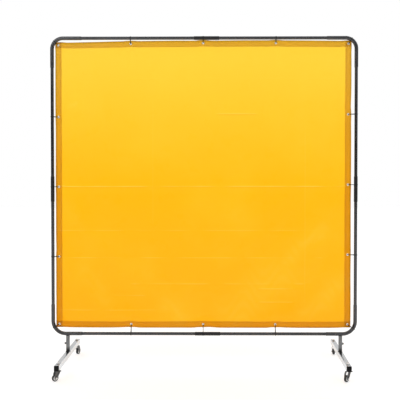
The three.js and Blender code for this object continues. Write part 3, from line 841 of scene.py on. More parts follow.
def hungShape(linesX, linesZ):
    # a coarse cloth, a little too long, held at its eyelets: where it bellies and wrinkles
    count, steps = hanging["points"], hanging["steps"]
    knotsX = np.linspace(sheetLow[0], sheetHigh[0], count)
    knotsZ = np.linspace(sheetLow[2], sheetHigh[2], count)
    x, z = np.meshgrid(knotsX, knotsZ)
    start = np.stack([x, sheetY + 1.5 * mm * np.sin(9 * x + 2) * np.sin(7 * z), z], -1)
    mesh = bpy.data.meshes.new("hanging")
    mesh.from_pydata(start.reshape(-1, 3).tolist(), [], gridFaces(count, count).tolist())
    cloth = bpy.data.objects.new("hanging", mesh)
    scene.collection.objects.link(cloth)
    held = cloth.vertex_groups.new(name="held")
    for _, eyeX, eyeZ, *_ in eyelets:
        nearest = np.hypot(x - eyeX, z - eyeZ).argmin()
        held.add([int(nearest)], 1.0, "REPLACE")
    settings = cloth.modifiers.new("hang", "CLOTH").settings
    settings.quality, settings.mass, settings.air_damping = 8, 0.25, 4
    settings.tension_stiffness = settings.compression_stiffness = 25
    settings.shear_stiffness, settings.bending_stiffness = 12, 1.5
    settings.vertex_group_mass = "held"
    settings.shrink_min = settings.shrink_max = -hanging["ease"]
    cloth.modifiers["hang"].point_cache.frame_end = steps
    scene.frame_start, scene.frame_end = 1, steps
    for step in range(1, steps + 1):
        scene.frame_set(step)
    shown = cloth.evaluated_get(bpy.context.evaluated_depsgraph_get()).data
    after = np.empty(len(shown.vertices) * 3)
    shown.vertices.foreach_get("co", after)
    moved = after.reshape(count, count, 3) - np.stack([x, np.full_like(x, sheetY), z], -1)
    bpy.data.objects.remove(cloth)
    scene.frame_set(1)
    acrossX, acrossZ = splineWeights(linesX, knotsX), splineWeights(linesZ, knotsZ)
    shift = np.einsum("ik,klc,jl->ijc", acrossZ, moved, acrossX)
    shift[..., 1] *= min(1, sheetForm["waveLimit"] / np.abs(shift[..., 1]).max())
    shift[..., [0, 2]] = np.clip(shift[..., [0, 2]], -sheetForm["sideLimit"], sheetForm["sideLimit"])
    return shift


def window(value, low, high, soft):
    # 1 between two limits, with a soft step to 0 on both sides
    rise = np.clip((value - low) / soft, 0, 1)
    fall = np.clip((high - value) / soft, 0, 1)
    return (rise * rise * (3 - 2 * rise)) * (fall * fall * (3 - 2 * fall))


def bell(distance, width):
    # 1 on a line, falling off to both sides
    return np.exp(-(distance / width) ** 2)


def foldShape(u, v):
    # each fold is a low ridge that falls off like a bent strip. Its crest is rubbed light and
    # its lower side is shaded, and both come and go along the fold.
    depth, light, shade = np.zeros((3,) + u.shape)
    for index, (place, size, (start, end), broken) in enumerate(foldMarks):
        distance = (v - place) * sheetSpan[2]
        along = np.sin(31 * u + 2.1 * index) + np.sin(53 * u + 4.7 * index) + np.sin(11 * u + index)
        kept = np.clip(1 - broken * (0.5 - along / 2), 0, 1)
        strength = window(u, start - 0.01, end + 0.01, 0.02) * kept
        height = (size if index % 2 else -size) * (0.6 + 0.4 * strength)
        ridge = window(u, start - 0.05, end + 0.05, 0.05) * np.exp(-np.abs(distance) / foldLook["reach"])
        depth += height * ridge
        drawn = strength * size / foldLook["full"]
        light = np.maximum(light, drawn * bell(distance, foldLook["rubbed"]))
        under = distance + foldLook["shadeDrop"]
        shade = np.maximum(shade, 0.7 * drawn * bell(under, foldLook["shadeWidth"]))
    for place, size, (start, end) in uprightMarks:
        distance = (u - place) * sheetSpan[0]
        strength = window(v, start, end, 0.12)
        depth += size * strength * np.exp(-np.abs(distance) / foldLook["uprightReach"])
        light = np.maximum(light, strength * size / foldLook["full"] * bell(distance, foldLook["rubbed"]))
    return depth, light, shade


def sheenAndScuffShape(u, v):
    # painted sheen along the drag lines, with one band a scuff: each band is a blurred stroke, full along its
    # middle line, torn by slow waves
    sheenAndScuffs = np.zeros_like(u)
    for index, (start, end, size, strength) in enumerate(sheenAndScuffBands):
        start, way = np.array(start), np.array(end) - np.array(start)
        length = np.linalg.norm(way)
        t = ((u - start[0]) * way[0] + (v - start[1]) * way[1]) / length ** 2
        across = ((u - start[0]) * way[1] - (v - start[1]) * way[0]) / length
        across = across + 0.25 * size * np.sin(9 * t + index)
        torn = 0.8 + 0.2 * np.sin(140 * v + 5 * np.sin(47 * u) + index)
        stroke = window(t, -0.1, 1.1, 0.25) * bell(across, size) * torn
        sheenAndScuffs = np.maximum(sheenAndScuffs, strength * stroke)
    return sheenAndScuffs


pucker = {  # how far the rays run and how deep they are, at the corners and along the sides
    "corner": (95 * mm, 2.6 * mm), "side": (45 * mm, 1.1 * mm), "rays": 7,
}


def puckerShape(x, z):
    # near each eyelet the film gathers: shallow rays that run away from it and die out
    depth = np.zeros_like(x)
    for _, eyeX, eyeZ, outX, outZ, *_ in eyelets:
        away, angle = np.hypot(x - eyeX, z - eyeZ), np.arctan2(z - eyeZ, x - eyeX)
        inward = np.arctan2(-outZ, -outX)
        reach, size = pucker["corner" if outX * outZ else "side"]
        rays = np.cos(pucker["rays"] * (angle - inward) + 0.6 * np.sin(40 * away))
        start = np.clip((away - 8 * mm) / (25 * mm), 0, 1)
        depth += size * rays * start * np.exp(-away / reach)
    return depth


def ripples(x, z):
    # long soft waves and diagonal drags, as in film that was hung up and not ironed, with
    # finer waves in the lower right part
    drag = np.sin(6.1 * x + 3.3 * z + 0.8 * np.sin(2.4 * z)) + 0.7 * np.sin(4.3 * z - 7.7 * x + 1.2)
    lower = bell(x - 0.55, 0.4) * bell(z - 0.6, 0.35)
    fine = np.sin(38 * x + 9 * np.sin(3 * z)) * np.sin(23 * z + 5 * np.sin(4 * x))
    return 0.9 * mm * drag + 1.6 * mm * lower * fine + 0.35 * mm * fine


def calmShape(x, z):
    # 0 under every eyelet, 1 away from them
    calm = np.ones_like(x)
    for _, eyeX, eyeZ, *_ in eyelets:
        away = np.hypot(x - eyeX, z - eyeZ)
        calm *= np.clip((away - 9 * mm) / (40 * mm), 0, 1) ** 1.5
    return calm


def keptClear(depth, u, v):
    # near an edge the film doesn't come forward into the tubes, and it is quiet at the corners
    fromSide, fromEnd = np.minimum(u, 1 - u) * sheetSpan[0], np.minimum(v, 1 - v) * sheetSpan[2]
    inside = np.minimum(fromSide, fromEnd) - 20 * mm
    depth = np.maximum(depth, -0.3 * mm - 30 * mm * np.clip(inside / (150 * mm), 0, 1))
    return depth * np.clip(np.hypot(fromSide, fromEnd) / (60 * mm), 0.1, 1)


def roundHoles(points, x, z):
    # the square of points round each hole moves onto a circle
    reach = sheetForm["holeReach"]
    for _, eyeX, eyeZ, *_ in eyelets:
        offset = np.stack([x - eyeX, z - eyeZ], -1)
        ring = np.abs(np.abs(offset).max(-1) - reach) < 0.05 * mm
        at = np.array([eyeX, eyeZ]) + unit(offset[ring]) * reach
        points[ring] = np.stack([at[:, 0], np.full(len(at), sheetY), at[:, 1]], -1)


def sheetPoints(linesX, linesZ):
    x, z = np.meshgrid(linesX, linesZ)
    u, v = (x - sheetLow[0]) / sheetSpan[0], (z - sheetLow[2]) / sheetSpan[2]
    depth, light, shade = foldShape(u, v)
    # painted sheen bands along the drag lines, one of them a scuff; they also push the film forward
    sheenAndScuffs = sheenAndScuffShape(u, v)
    shift = hungShape(linesX, linesZ)
    depth += 6 * mm * sheenAndScuffs + puckerShape(x, z) + ripples(x, z) + shift[..., 1]
    calm = calmShape(x, z)
    depth = keptClear(depth * calm, u, v)
    points = np.stack([x + shift[..., 0] * calm, sheetY + depth, z + shift[..., 2] * calm], -1)
    roundHoles(points, x, z)
    points[..., 2] += bowed(points[..., 0], points[..., 2])
    flat = np.stack([x - sheetLow[0], z - sheetLow[2]], -1)
    return points, flat, {"crease": light, "shade": shade, "sheenAndScuffs": sheenAndScuffs}


def makeFilm(name, points, flat, painted, keepRows, keepColumns, offset, material):
    # one layer of the sheet: the kept block of the grid, moved back and given its thickness
    block = np.ix_(keepRows, keepColumns)
    points, flat = points[block] + offset * backward, flat[block]
    faces = gridFaces(*points.shape[:2])
    middle = flat.reshape(-1, 2)[faces].mean(1) + sheetLow[[0, 2]]
    holes = np.array([place[1:3] for place in eyelets])
    inside = np.abs(middle[:, None] - holes[None]).max(-1).min(1) < sheetForm["holeReach"]
    kept, faces = np.unique(faces[~inside], return_inverse=True)
    faces = faces.reshape(-1, 4)
    mesh = bpy.data.meshes.new(name)
    mesh.from_pydata(points.reshape(-1, 3)[kept].tolist(), [], faces.tolist())
    cut = flat.reshape(-1, 2)[kept]
    mesh.uv_layers.new(name="flat").data.foreach_set("uv", cut[faces.ravel()].ravel())
    for layer, values in painted.items():
        data = mesh.attributes.new(layer, "FLOAT", "POINT").data
        data.foreach_set("value", np.clip(values[block].ravel()[kept], 0, 1).astype(np.float32))
    piece = addObject(name, mesh, material)
    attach(piece, "frame")
    thicken(piece, sheetForm["thickness"])
    return piece


stitchForm = {
    "pitch": 6 * mm, "length": 4.2 * mm, "radius": 0.26 * mm, "sides": 6,
    "inset": hemSize - 4 * mm,  # from the edge of the sheet
    "free": 8 * mm,  # left out at both ends of a line
    "stand": 0.42 * mm,
}


def makeStitches(points, linesX, linesZ):
    # a line of short thread stitches along the inner edge of each hem, front and back. Each one
    # is a little tube that narrows towards its ends.
    inset, free, stand = stitchForm["inset"], stitchForm["free"], stitchForm["stand"]
    along = np.array([-0.5, -0.42, 0.42, 0.5])[:, None] * stitchForm["length"]
    thick = np.array([0.35, 1, 1, 0.35])[:, None, None] * stitchForm["radius"]
    ring = thick * circle(1, stitchForm["sides"])
    edges = [(0, 2, sheetHigh[2] - inset), (0, 2, sheetLow[2] + inset),
             (2, 0, sheetLow[0] + inset), (2, 0, sheetHigh[0] - inset)]
    skins = []
    for axis, other, level in edges:
        places = np.arange(sheetLow[axis] + free, sheetHigh[axis] - free, stitchForm["pitch"])
        middle = np.zeros((len(places), 1, 1, 3))
        middle[..., axis], middle[..., other] = places[:, None, None], level
        column = np.clip(np.searchsorted(linesX, middle[:, 0, 0, 0]), 0, len(linesX) - 1)
        row = np.clip(np.searchsorted(linesZ, middle[:, 0, 0, 2]), 0, len(linesZ) - 1)
        middle[:, 0, 0, 1] = points[row, column, 1]
        for side in (-stand, sheetForm["hemGap"] + stand):
            stitch = np.tile(middle, (1,) + ring.shape[:2] + (1,))
            stitch[..., axis] += along
            stitch[..., 1] += side + ring[..., 0]
            stitch[..., other] += ring[..., 1]
            skins.append(manyTubes(stitch))
    return makePiece("hem_stitches", skins, finish["thread"], "frame", sharp=60)


def manyTubes(points):
    # many small closed tubes of the same shape: rings joined by faces, and a face on each end
    count, rows, sides = points.shape[:3]
    one = gridFaces(rows, sides, closeColumns=True)
    start, end = np.arange(sides)[::-1], (rows - 1) * sides + np.arange(sides)
    caps = [np.stack([np.full(sides - 2, cap[0]), cap[1:-1], cap[2:]], -1) for cap in (start, end)]
    three = np.vstack(caps)
    single = points[0].reshape(-1, 3)
    corners = np.vstack([one[:, [0, 1, 2]], one[:, [0, 2, 3]], three])
    a, b, c = (single[corners[:, i]] - single.mean(0) for i in range(3))
    if (a * np.cross(b, c)).sum() < 0:
        one, three = one[:, ::-1], three[:, ::-1]
    shift = (np.arange(count) * rows * sides)[:, None, None]
    return points.reshape(-1, 3), (one + shift).reshape(-1, 4), (three + shift).reshape(-1, 3)


def makeSheet():
    linesX, linesZ = sheetLines()
    points, flat, painted = sheetPoints(linesX, linesZ)
    everyX, everyZ = np.arange(len(linesX)), np.arange(len(linesZ))
    sheet = makeFilm("curtain_vinyl", points, flat, painted, everyZ, everyX, 0, finish["sheet"])
    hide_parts("curtain")
    close = 1e-6
    strips = {
        "top": (np.flatnonzero(linesZ >= sheetHigh[2] - hemSize - close), everyX, 1),
        "bottom": (np.flatnonzero(linesZ <= sheetLow[2] + hemSize + close), everyX, 1),
        "left": (everyZ, np.flatnonzero(linesX <= sheetLow[0] + hemSize + close), 2),
        "right": (everyZ, np.flatnonzero(linesX >= sheetHigh[0] - hemSize - close), 2),
    }
    for name, (rows, columns, layer) in strips.items():
        makeFilm(f"curtain_hem_{name}", points, flat, {}, rows, columns,
                             layer * sheetForm["hemGap"], finish["hem"])
    makeStitches(points, linesX, linesZ)
    print("sheet ready:", len(linesX), "by", len(linesZ), "lines")


makeSheet()


# --- legs

legForm = {
    "width": 28 * mm, "corner": 3 * mm, "wall": 1.5 * mm, "postRadius": 11 * mm, "postBore": 9.8 * mm,
    "postWeld": 1.9 * mm, "boss": 6.5 * mm, "bossWeld": 0.9 * mm,
}
boltForm = {"flats": 10 * mm, "head": 4.5 * mm, "shaft": 3 * mm, "dish": 0.35 * mm}
capForm = {
    # outline of the flange, in millimetres: how far behind its face, and how far drawn in
    "flange": [(0, 4.5), (0.12, 2.2), (0.45, 0.8), (1.1, 0.15), (1.8, 0), (3.2, 0), (3.5, 0.3), (3.5, 1.9)],
    "plug": 1.9 * mm, "plugTip": 2.6 * mm,
}


def legPlace(side):
    # origin on the floor under the post, first axis along +X before the leg was turned
    outward = -1 if side == "left" else 1
    x, y, _ = joints[f"leg_turn_{side}"]["pos_m"]
    return placeAt([x, y, 0], outward * np.array(joints[f"lock_bolt_turn_{side}"]["axis"]))


def boltPlace(side):
    # along the lock bolt and outwards, from the middle of the post
    x, y, _ = joints[f"leg_turn_{side}"]["pos_m"]
    turn = joints[f"lock_bolt_turn_{side}"]
    return placeAt([x, y, turn["pos_m"][2]], upward, turn["axis"])


def beamLevels(key):
    # underside and top of a leg's beam, from the end cap that closes it
    low, high = nodeBox(f"end_cap_{key}")
    return low[2], high[2]


def boxRows(key, stations, place):
    # rounded outlines of a beam set one after another: a station is (y, how far drawn in)
    under, top = beamLevels(key)
    rows = []
    for y, inset in stations:
        outline = roundedRectangle(legForm["width"] - 2 * inset, top - under - 2 * inset,
                                   max(legForm["corner"] - inset, 1 * mm))
        rows.append(np.c_[outline[:, 0], np.full(len(outline), y), outline[:, 1] + (under + top) / 2])
    return toWorld(np.stack(rows), place)


def hexSide(flats, foot, top, footEdge, topEdge):
    # the side of a hexagon head as a profile: an edge is (how far it draws in, how far it runs)
    corner = flats / math.sqrt(3) + 0.1 * mm
    way = 1 if top > foot else -1
    return [(corner - footEdge[0], foot), (corner, foot + way * footEdge[1]),
            (corner, top - way * topEdge[1]), (corner - topEdge[0], top)]


def makeBeam(side):
    # the box tube: along its outside from mouth to mouth, and back along its inside
    node, place, wall = f"leg_{side}", legPlace(side), legForm["wall"]
    low, high = localBox(node, place)
    start, end = low[1], high[1]
    outside = [(y, 0) for y in (start, *np.linspace(start + 1 * mm, end - 1 * mm, 9), end)]
    rows = boxRows(f"{side}_front", outside + [(end, wall), (start, wall)], place)
    makePiece(f"{node}_beam", [closedGrid(rows, closeRows=True)], finish["chrome"], node,
              [node])


def makePost(side):
    # a bored post with a boss for its lock bolt, and the two weld beads
    node, place, bolt = f"leg_{side}", legPlace(side), boltPlace(side)
    postTop, legTop = localBox(node, place)[1][2], beamLevels(f"{side}_front")[1]
    radius, bore, boss = legForm["postRadius"], legForm["postBore"], legForm["boss"]
    sunk, buried = legTop - 0.4 * mm, bore + 0.6 * mm
    face = localBox(f"lock_bolt_{side}", bolt)[1][2] - boltForm["head"] - 0.3 * mm
    post = [(radius, sunk), (radius, postTop), (bore, postTop), (bore, sunk)]
    collar = [(4 * mm, buried), (boss, buried), (boss, face), (3.3 * mm, face)]
    foot = np.c_[circle(radius, 144), np.full(144, legTop + 0.3 * mm)]
    parts = [
        turned(rounded(post, 0.5 * mm), place, closed=True),
        beadRing(toWorld(foot, place), upward, legForm["postWeld"], 30),
        turned(rounded(collar, 0.5 * mm), bolt, closed=True),
        beadRing(toWorld(saddleRing(boss, radius, 144), bolt), bolt[1][2], legForm["bossWeld"], 22),
    ]
    makePiece(f"{node}_post", parts, finish["post"], node, [node])


def makeLockBolt(side):
    node, bolt = f"lock_bolt_{side}", boltPlace(side)
    low, high = localBox(node, bolt)
    tip, top, shaft = low[2], high[2], boltForm["shaft"]
    head, dish = top - boltForm["head"], top - boltForm["dish"]
    profile = [(0, tip), (shaft - 0.4 * mm, tip), (shaft, tip + 0.5 * mm), (shaft, head),
               *hexSide(boltForm["flats"], head, top, (0.6 * mm, 0.45 * mm), (1 * mm, 0.8 * mm)),
               (2.6 * mm, top), (2.2 * mm, dish), (0, dish)]
    makePiece(f"{node}_hex", [turned(profile, bolt, flats=boltForm["flats"])], finish["bolt"], node,
              [node])


def makeEndCap(side, end):
    # a flange with softened edges and a domed face, and its plug in the tube's mouth
    place, key = legPlace(side), f"{side}_{end}"
    node = f"end_cap_{key}"
    low, high = localBox(node, place)
    face, back, way = (low[1], high[1], 1) if end == "front" else (high[1], low[1], -1)
    stations = [(face + way * depth * mm, inset * mm) for depth, inset in capForm["flange"]]
    stations += [(back - way * 1 * mm, capForm["plug"]), (back, capForm["plugTip"])]
    poles = [toWorld([0, y, (low[2] + high[2]) / 2], place) for y in (face, back)]
    cap = closedGrid(boxRows(key, stations, place), poles=poles)
    makePiece(f"{node}_moulding", [cap], finish["cap"], f"leg_{side}", [node], sharp=50)


# --- casters

stemForm = {
    "neck": 5 * mm, "rivet": 8 * mm, "collar": 11 * mm, "thread": 4 * mm, "threadOut": 4 * mm,
    "washer": 8.4 * mm, "washerHeight": 1.1 * mm, "flats": 13 * mm, "nutHeight": 5 * mm,
    "dome": 5.6 * mm, "domeFoot": 5.2 * mm,
}
forkForm = {
    "sheet": 2 * mm, "edge": 0.35 * mm, "eye": 7.5 * mm, "front": 12 * mm, "rear": 16 * mm,
    "bend": 3.2 * mm, "frontCurve": 1.9, "rearCurve": 2.6, "across": 13,
}
wheelForm = {
    "half": 7.5 * mm, "tread": 5.2 * mm, "crown": 2.4 * mm, "bore": 3.3 * mm, "hub": 6.5 * mm,
    "web": 3.4 * mm, "ribs": 5, "ribHeight": 2 * mm,
}
axleForm = {"head": 3.2 * mm, "flats": 9 * mm, "washer": 0.7 * mm, "washerRadius": 5 * mm, "shaft": 3 * mm}
leverForm = {
    "sheet": 1.8 * mm, "edge": 0.3 * mm, "arm": 9 * mm, "bend": 3 * mm, "lean": 0.9, "waist": 1.6,
    "padRise": 1.1 * mm, "across": 9,
}


def casterPlace(key):
    # origin on the floor under the swivel, first axis along the axle
    swivel, spin = joints[f"swivel_{key}"], joints[f"wheel_spin_{key}"]
    return placeAt([*swivel["pos_m"][:2], 0], spin["axis"])


def axlePlace(key):
    # along the axle, with its middle in the wheel
    spin = joints[f"wheel_spin_{key}"]
    return placeAt(spin["pos_m"], upward, spin["axis"])


def makeStem(side, end):
    # a rivet, the collar of the swivel, the threaded stem with a washer, and a domed nut on it
    key = f"{side}_{end}"
    node, place, (under, top) = f"stem_{key}", casterPlace(key), beamLevels(key)
    low, high = localBox(node, place)
    neck, thread, rim, head = (stemForm[part] for part in ("neck", "thread", "collar", "rivet"))
    rivet, collar, tip = low[2], under - 0.3 * mm, top + stemForm["threadOut"]
    swivel = [
        (0, rivet), (neck, rivet), (head - 0.4 * mm, rivet + 1.1 * mm), (head, rivet + 2 * mm),
        (neck, rivet + 2 * mm), (neck, collar - 3 * mm), (rim - 1.4 * mm, collar - 3 * mm),
        (rim, collar - 2.1 * mm), (rim, collar - 0.9 * mm), (rim - 1.2 * mm, collar),
        (thread, collar), (thread, tip), (0, tip),
    ]
    seat, inner, outer = top + 0.1 * mm, thread + 0.2 * mm, stemForm["washer"]
    foot = seat + stemForm["washerHeight"]
    washer = rounded([(inner, seat), (outer, seat), (outer, foot), (inner, foot)], 0.3 * mm, 2)
    parts = [turned(swivel, place), turned(washer, place, closed=True)]
    makePiece(f"{node}_swivel", parts, finish["zinc"], f"leg_{side}", [node])

    rise = np.linspace(0, np.pi / 2, 9)
    domeFoot = foot + stemForm["domeFoot"]
    dome = np.c_[stemForm["dome"] * np.cos(rise), domeFoot + (high[2] - domeFoot) * np.sin(rise)]
    dome[-1, 0] = 0
    flank = hexSide(stemForm["flats"], foot, foot + stemForm["nutHeight"], (0.6 * mm, 0.5 * mm),
                    (0.9 * mm, 0.8 * mm))
    nut = np.vstack([[(0, foot), (thread + 0.1 * mm, foot)], flank, dome])
    makePiece(f"{node}_nut", [turned(nut, place, flats=stemForm["flats"])], finish["bright"],
              f"leg_{side}", [node])


def plateRows(x, z, front, rear):
    # rows across a plate: where each one is, and the Y of its two ends
    return np.stack(np.broadcast_arrays(x, z, front, rear), -1)


def eyeRows(x, trail, axleZ, toDegrees, steps):
    # rows of a plate round the axle, from its lowest point up to a given angle
    angle = np.radians(np.linspace(-86, toDegrees, steps))
    reach = forkForm["eye"] * np.cos(angle)
    return plateRows(x, axleZ + forkForm["eye"] * np.sin(angle), trail - reach, trail + reach)


def between(start, end, share):
    return start + (end - start) * share


def makePlate(node, rows, place, body, form):
    # a bent strip from its rows, thickened on both sides of them
    y = between(rows[:, 2:3], rows[:, 3:4], np.linspace(0, 1, form["across"]))
    points = toWorld(np.stack([rows[:, :1] + 0 * y, y, rows[:, 1:2] + 0 * y], -1), place)
    skin = (points.reshape(-1, 3), gridFaces(*points.shape[:2]), np.empty((0, 3), int))
    piece = makePiece(f"{node}_plate", [skin], finish["zinc"], body, [node])
    thicken(piece, form["sheet"], form["edge"])


def makeFork(key):
    # one strip: round the eye of the axle, up one cheek, over the crown and down the other side
    node, place = f"fork_{key}", casterPlace(key)
    high = localBox(node, place)[1]
    _, trail, axleZ = toLocal(joints[f"wheel_spin_{key}"]["pos_m"], place)
    half, eye, bend = forkForm["sheet"] / 2, forkForm["eye"], forkForm["bend"]
    front, rear = -forkForm["front"], forkForm["rear"]
    middleX, crownZ = high[0] - half, high[2] - half
    cheekZ = np.linspace(axleZ + 1.5 * mm, crownZ - bend, 12)
    share = (cheekZ - axleZ) / (crownZ - axleZ)
    cheekFront = between(trail - eye, front, share ** forkForm["frontCurve"])
    cheekRear = between(trail + eye, rear, share ** forkForm["rearCurve"])
    # the edges reach the crown's width halfway round the bend
    angle = np.radians(np.linspace(0, 90, 7))[1:]
    reached = np.minimum(1, np.arange(1, 7) / 3)
    oneSide = np.vstack([
        eyeRows(middleX, trail, axleZ, -8, 11),
        plateRows(middleX, cheekZ, cheekFront, cheekRear),
        plateRows(middleX - bend * (1 - np.cos(angle)), crownZ - bend * (1 - np.sin(angle)),
                  between(cheekFront[-1], front, reached), between(cheekRear[-1], rear, reached)),
    ])
    crownX = np.linspace(oneSide[-1, 0], -oneSide[-1, 0], 7)[1:-1]
    rows = np.vstack([oneSide, plateRows(crownX, crownZ, front, rear), oneSide[::-1] * [-1, 1, 1, 1]])
    makePlate(node, rows, place, f"caster_{key}", forkForm)


def makeWheel(key):
    # a tyre with a crowned tread, and a ribbed hub inside it
    node, place = f"wheel_{key}", axlePlace(key)
    radius = joints[f"wheel_spin_{key}"]["pos_m"][2] - 0.05 * mm
    half, crown, web = wheelForm["half"], wheelForm["crown"], wheelForm["web"]
    hub, bore, rim = wheelForm["hub"], wheelForm["bore"], radius - wheelForm["tread"]
    seat = rim - 0.4 * mm
    tyre = mirrored([(rim, -half + 0.8 * mm), (radius - crown, -half), (radius - 0.5 * mm, -half + 2.2 * mm),
                     (radius, -crown)]) + [(seat, 2 * mm), (seat, -2 * mm)]
    makePiece(f"{node}_tyre", [turned(rounded(tyre, 1.3 * mm, 4), place, 64, closed=True)],
              finish["rubber"], node, [node])
    end, lip = localBox(node, place)[1][2], half - 1 * mm
    outline = mirrored([(bore, -end), (hub - 1 * mm, -end), (hub, -web), (rim - 2.2 * mm, -web),
                        (rim - 1.2 * mm, -lip), (rim, -lip)])

    def ribs(angle, radius, height):
        # they stand out of the web on both sides
        onWeb = (radius > hub * 0.98) & (radius < rim - 1.8 * mm)
        tall = np.clip(np.cos(wheelForm["ribs"] * angle) * 3 - 1.6, 0, 1) * wheelForm["ribHeight"]
        return np.where(onWeb, np.sign(height) * tall, 0)

    makePiece(f"{node}_hub", [turned(rounded(outline, 0.4 * mm, 2), place, 80, closed=True, wave=ribs)],
              finish["hub"], node)


def makeAxle(key):
    # a hexagon bolt through the fork, a lock nut on its end and a washer under both
    node, place = f"axle_{key}", axlePlace(key)
    low, high = localBox(node, place)
    shaft, washer, flats = axleForm["shaft"], axleForm["washer"], axleForm["flats"]
    ends = low[2] + 1 * mm, high[2] - 1 * mm
    parts = [turned([(0, ends[0]), (shaft, ends[0]), (shaft, ends[1]), (0, ends[1])], place)]
    for end, way, dish in ((low[2], 1, 0.21 * mm), (high[2], -1, 0.54 * mm)):
        inner = end + way * axleForm["head"]
        outer = inner - way * washer
        head = [(0, outer), *hexSide(flats, outer, end + way * 0.1 * mm, (0.5 * mm, 0.4 * mm),
                                     (1 * mm, 0.6 * mm)),
                (shaft + 0.4 * mm, end), (shaft, end + way * dish), (0, end + way * dish)]
        hole, rim = shaft + 0.05 * mm, axleForm["washerRadius"]
        ring = rounded([(hole, inner), (rim, inner), (rim, outer), (hole, outer)], 0.15 * mm, 2)
        parts += [turned(head, place, flats=flats), turned(ring, place, closed=True)]
    makePiece(f"{node}_bolt", parts, finish["bright"], f"caster_{key}", [node])


def makeLever(key):
    # a stamped plate: an eye on the axle, a leaning arm and a foot pad bent outwards
    node, place = f"brake_lever_{key}", casterPlace(key)
    low, high = localBox(node, place)
    near, far, way = (low[0], high[0], 1) if high[0] > 0 else (high[0], low[0], -1)
    _, trail, axleZ = toLocal(joints[f"wheel_spin_{key}"]["pos_m"], place)
    half, armHalf, bend = leverForm["sheet"] / 2, leverForm["arm"] / 2, leverForm["bend"]
    middleX, topZ, armY = near + way * half, high[2] - half, low[1] + armHalf
    z = np.linspace(axleZ + 2 * mm, topZ - bend, 12)
    share = (z - axleZ) / (topZ - bend - axleZ)
    centre = between(trail, armY, share ** leverForm["lean"])
    width = between(forkForm["eye"], armHalf, np.minimum(1, share * leverForm["waist"]))
    angle = np.radians(np.linspace(0, 90, 6))[1:]
    bendX = middleX + way * bend * (1 - np.cos(angle))
    along = np.linspace(0, 1, 12)[1:]
    # the tip of the pad is round: its half width is the arm's times the root of 1 less the
    # square of how far it is into the tip
    tip = armHalf * np.sqrt(np.clip(1 - np.clip((along - 0.62) / 0.40, 0, 0.97) ** 2, 0.05, 1))
    rows = np.vstack([
        eyeRows(middleX, trail, axleZ, 0, 12),
        plateRows(middleX, z, centre - width, centre + width),
        plateRows(bendX, topZ - bend * (1 - np.sin(angle)), armY - armHalf, armY + armHalf),
        plateRows(between(bendX[-1], far, along), topZ + leverForm["padRise"] * along ** 2,
                  armY - tip, armY + tip),
    ])
    makePlate(node, rows, place, f"brake_{key}", leverForm)


for side in ("left", "right"):
    makeBeam(side)
    makePost(side)
    makeLockBolt(side)
    for end in ("front", "rear"):
        key = f"{side}_{end}"
        makeEndCap(side, end)
        makeStem(side, end)
        makeFork(key)
        makeWheel(key)
        makeAxle(key)
        if f"brake_lever_{key}" in frame["nodes"]:
            makeLever(key)
print("legs and casters ready")


# --- stage, light and camera

stage = {"floorSize": 60.0, "floorTone": 0.64, "glow": 0.5, "mirrorGlow": 0.34}
view = {"lens": 53.82, "sensor": 36.0, "place": (0.0027, -3.568, 1.065), "tilt": -0.0179, "turn": 0.0073}
lamps = {
    # name: place, what it points at, size, power, colour
    "key": ((-2.6, -3.6, 3.6), (0, 0, 1.0), 2.4, 34, (1.0, 0.99, 0.97)),
    "fill": ((3.2, -2.8, 2.6), (0, 0, 1.0), 2.6, 16, (0.96, 0.98, 1.0)),
    "behind": ((0.2, 3.6, 2.8), (0, 0, 1.2), 3.4, 18, (1.0, 1.0, 1.0)),
}


def makeStage():
    half = stage["floorSize"] / 2
    line = np.linspace(-half, half, 5)
    x, y = np.meshgrid(line, line)
    mesh = bpy.data.meshes.new("floor")
    mesh.from_pydata(np.stack([x, y, 0 * x], -1).reshape(-1, 3).tolist(), [], gridFaces(5, 5).tolist())
    tone = Finish("paleFloor", (stage["floorTone"],) * 3, 0, 0.75)
    tone.shader.inputs["Emission Color"].default_value = (1, 1, 1, 1)
    # mirrors see the floor a little darker, so that the plated legs stand out from it
    path = tone.nodes.new("ShaderNodeLightPath")
    glow = tone.ranged(path.outputs["Is Glossy Ray"], stage["glow"], stage["mirrorGlow"], 0, 1)
    tone.links.new(glow, tone.shader.inputs["Emission Strength"])
    addObject("floor", mesh, tone.material)


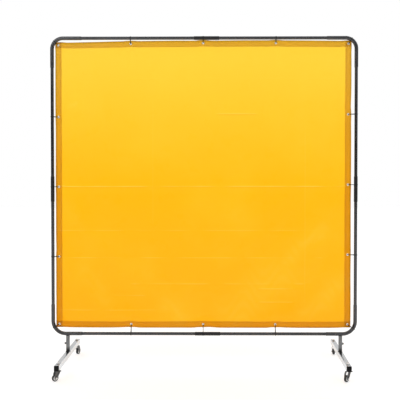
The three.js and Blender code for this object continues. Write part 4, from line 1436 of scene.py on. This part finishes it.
def makeSky():
    # white behind the screen, a dim front half near the horizon and a bright ceiling
    world = bpy.data.worlds.new("studio")
    scene.world = world
    world.use_nodes = True
    nodes, links = world.node_tree.nodes, world.node_tree.links
    background = nodes["Background"]
    split = nodes.new("ShaderNodeSeparateXYZ")
    links.new(nodes.new("ShaderNodeTexCoord").outputs["Generated"], split.inputs[0])

    def ranged(value, fromLow, fromHigh, low, high):
        node = nodes.new("ShaderNodeMapRange")
        node.interpolation_type = "SMOOTHSTEP"
        for key, number in (("From Min", fromLow), ("From Max", fromHigh), ("To Min", low), ("To Max", high)):
            node.inputs[key].default_value = number
        links.new(value, node.inputs["Value"])
        return node.outputs["Result"]

    def larger(a, b):
        node = nodes.new("ShaderNodeMath")
        node.operation = "MAXIMUM"
        links.new(a, node.inputs[0])
        links.new(b, node.inputs[1])
        return node.outputs[0]

    above = ranged(split.outputs["Z"], 0.08, 0.75, 0.03, 1.0)
    behind = ranged(split.outputs["Y"], 0.0, 0.55, 0.0, 1.0)
    seen = larger(above, behind)
    path = nodes.new("ShaderNodeLightPath")
    # mirrors see a greyer band low behind the screen, which draws the tops of the legs
    dimmed = nodes.new("ShaderNodeMath")
    dimmed.operation = "MULTIPLY"
    low = ranged(split.outputs["Z"], 0.34, 0.5, 0.66, 1.0)
    links.new(seen, dimmed.inputs[0])
    links.new(low, dimmed.inputs[1])
    mirrored = nodes.new("ShaderNodeMix")
    links.new(path.outputs["Is Glossy Ray"], mirrored.inputs["Factor"])
    links.new(seen, mirrored.inputs["A"])
    links.new(dimmed.outputs[0], mirrored.inputs["B"])
    strength = larger(mirrored.outputs["Result"], path.outputs["Is Camera Ray"])
    links.new(strength, background.inputs["Strength"])
    background.inputs["Color"].default_value = (1, 1, 1, 1)


def makeLamps():
    for name, (place, target, size, power, color) in lamps.items():
        data = bpy.data.lights.new(name, "AREA")
        data.shape, data.size, data.energy, data.color = "DISK", size, power, color
        lamp = bpy.data.objects.new(name, data)
        scene.collection.objects.link(lamp)
        lamp.location = place
        away = np.array(place) - np.array(target)
        flat = math.hypot(away[0], away[1])
        lamp.rotation_euler = (math.atan2(flat, away[2]), 0, math.atan2(away[0], -away[1]))


def makeCamera():
    data = bpy.data.cameras.new("camera")
    camera = bpy.data.objects.new("camera", data)
    scene.collection.objects.link(camera)
    data.sensor_width, data.lens = view["sensor"], view["lens"]
    camera.location = view["place"]
    camera.rotation_euler = (math.pi / 2 + view["tilt"], 0, view["turn"])
    scene.camera = camera


makeStage()
makeSky()
makeLamps()
makeCamera()
scene.view_settings.view_transform = "Standard"
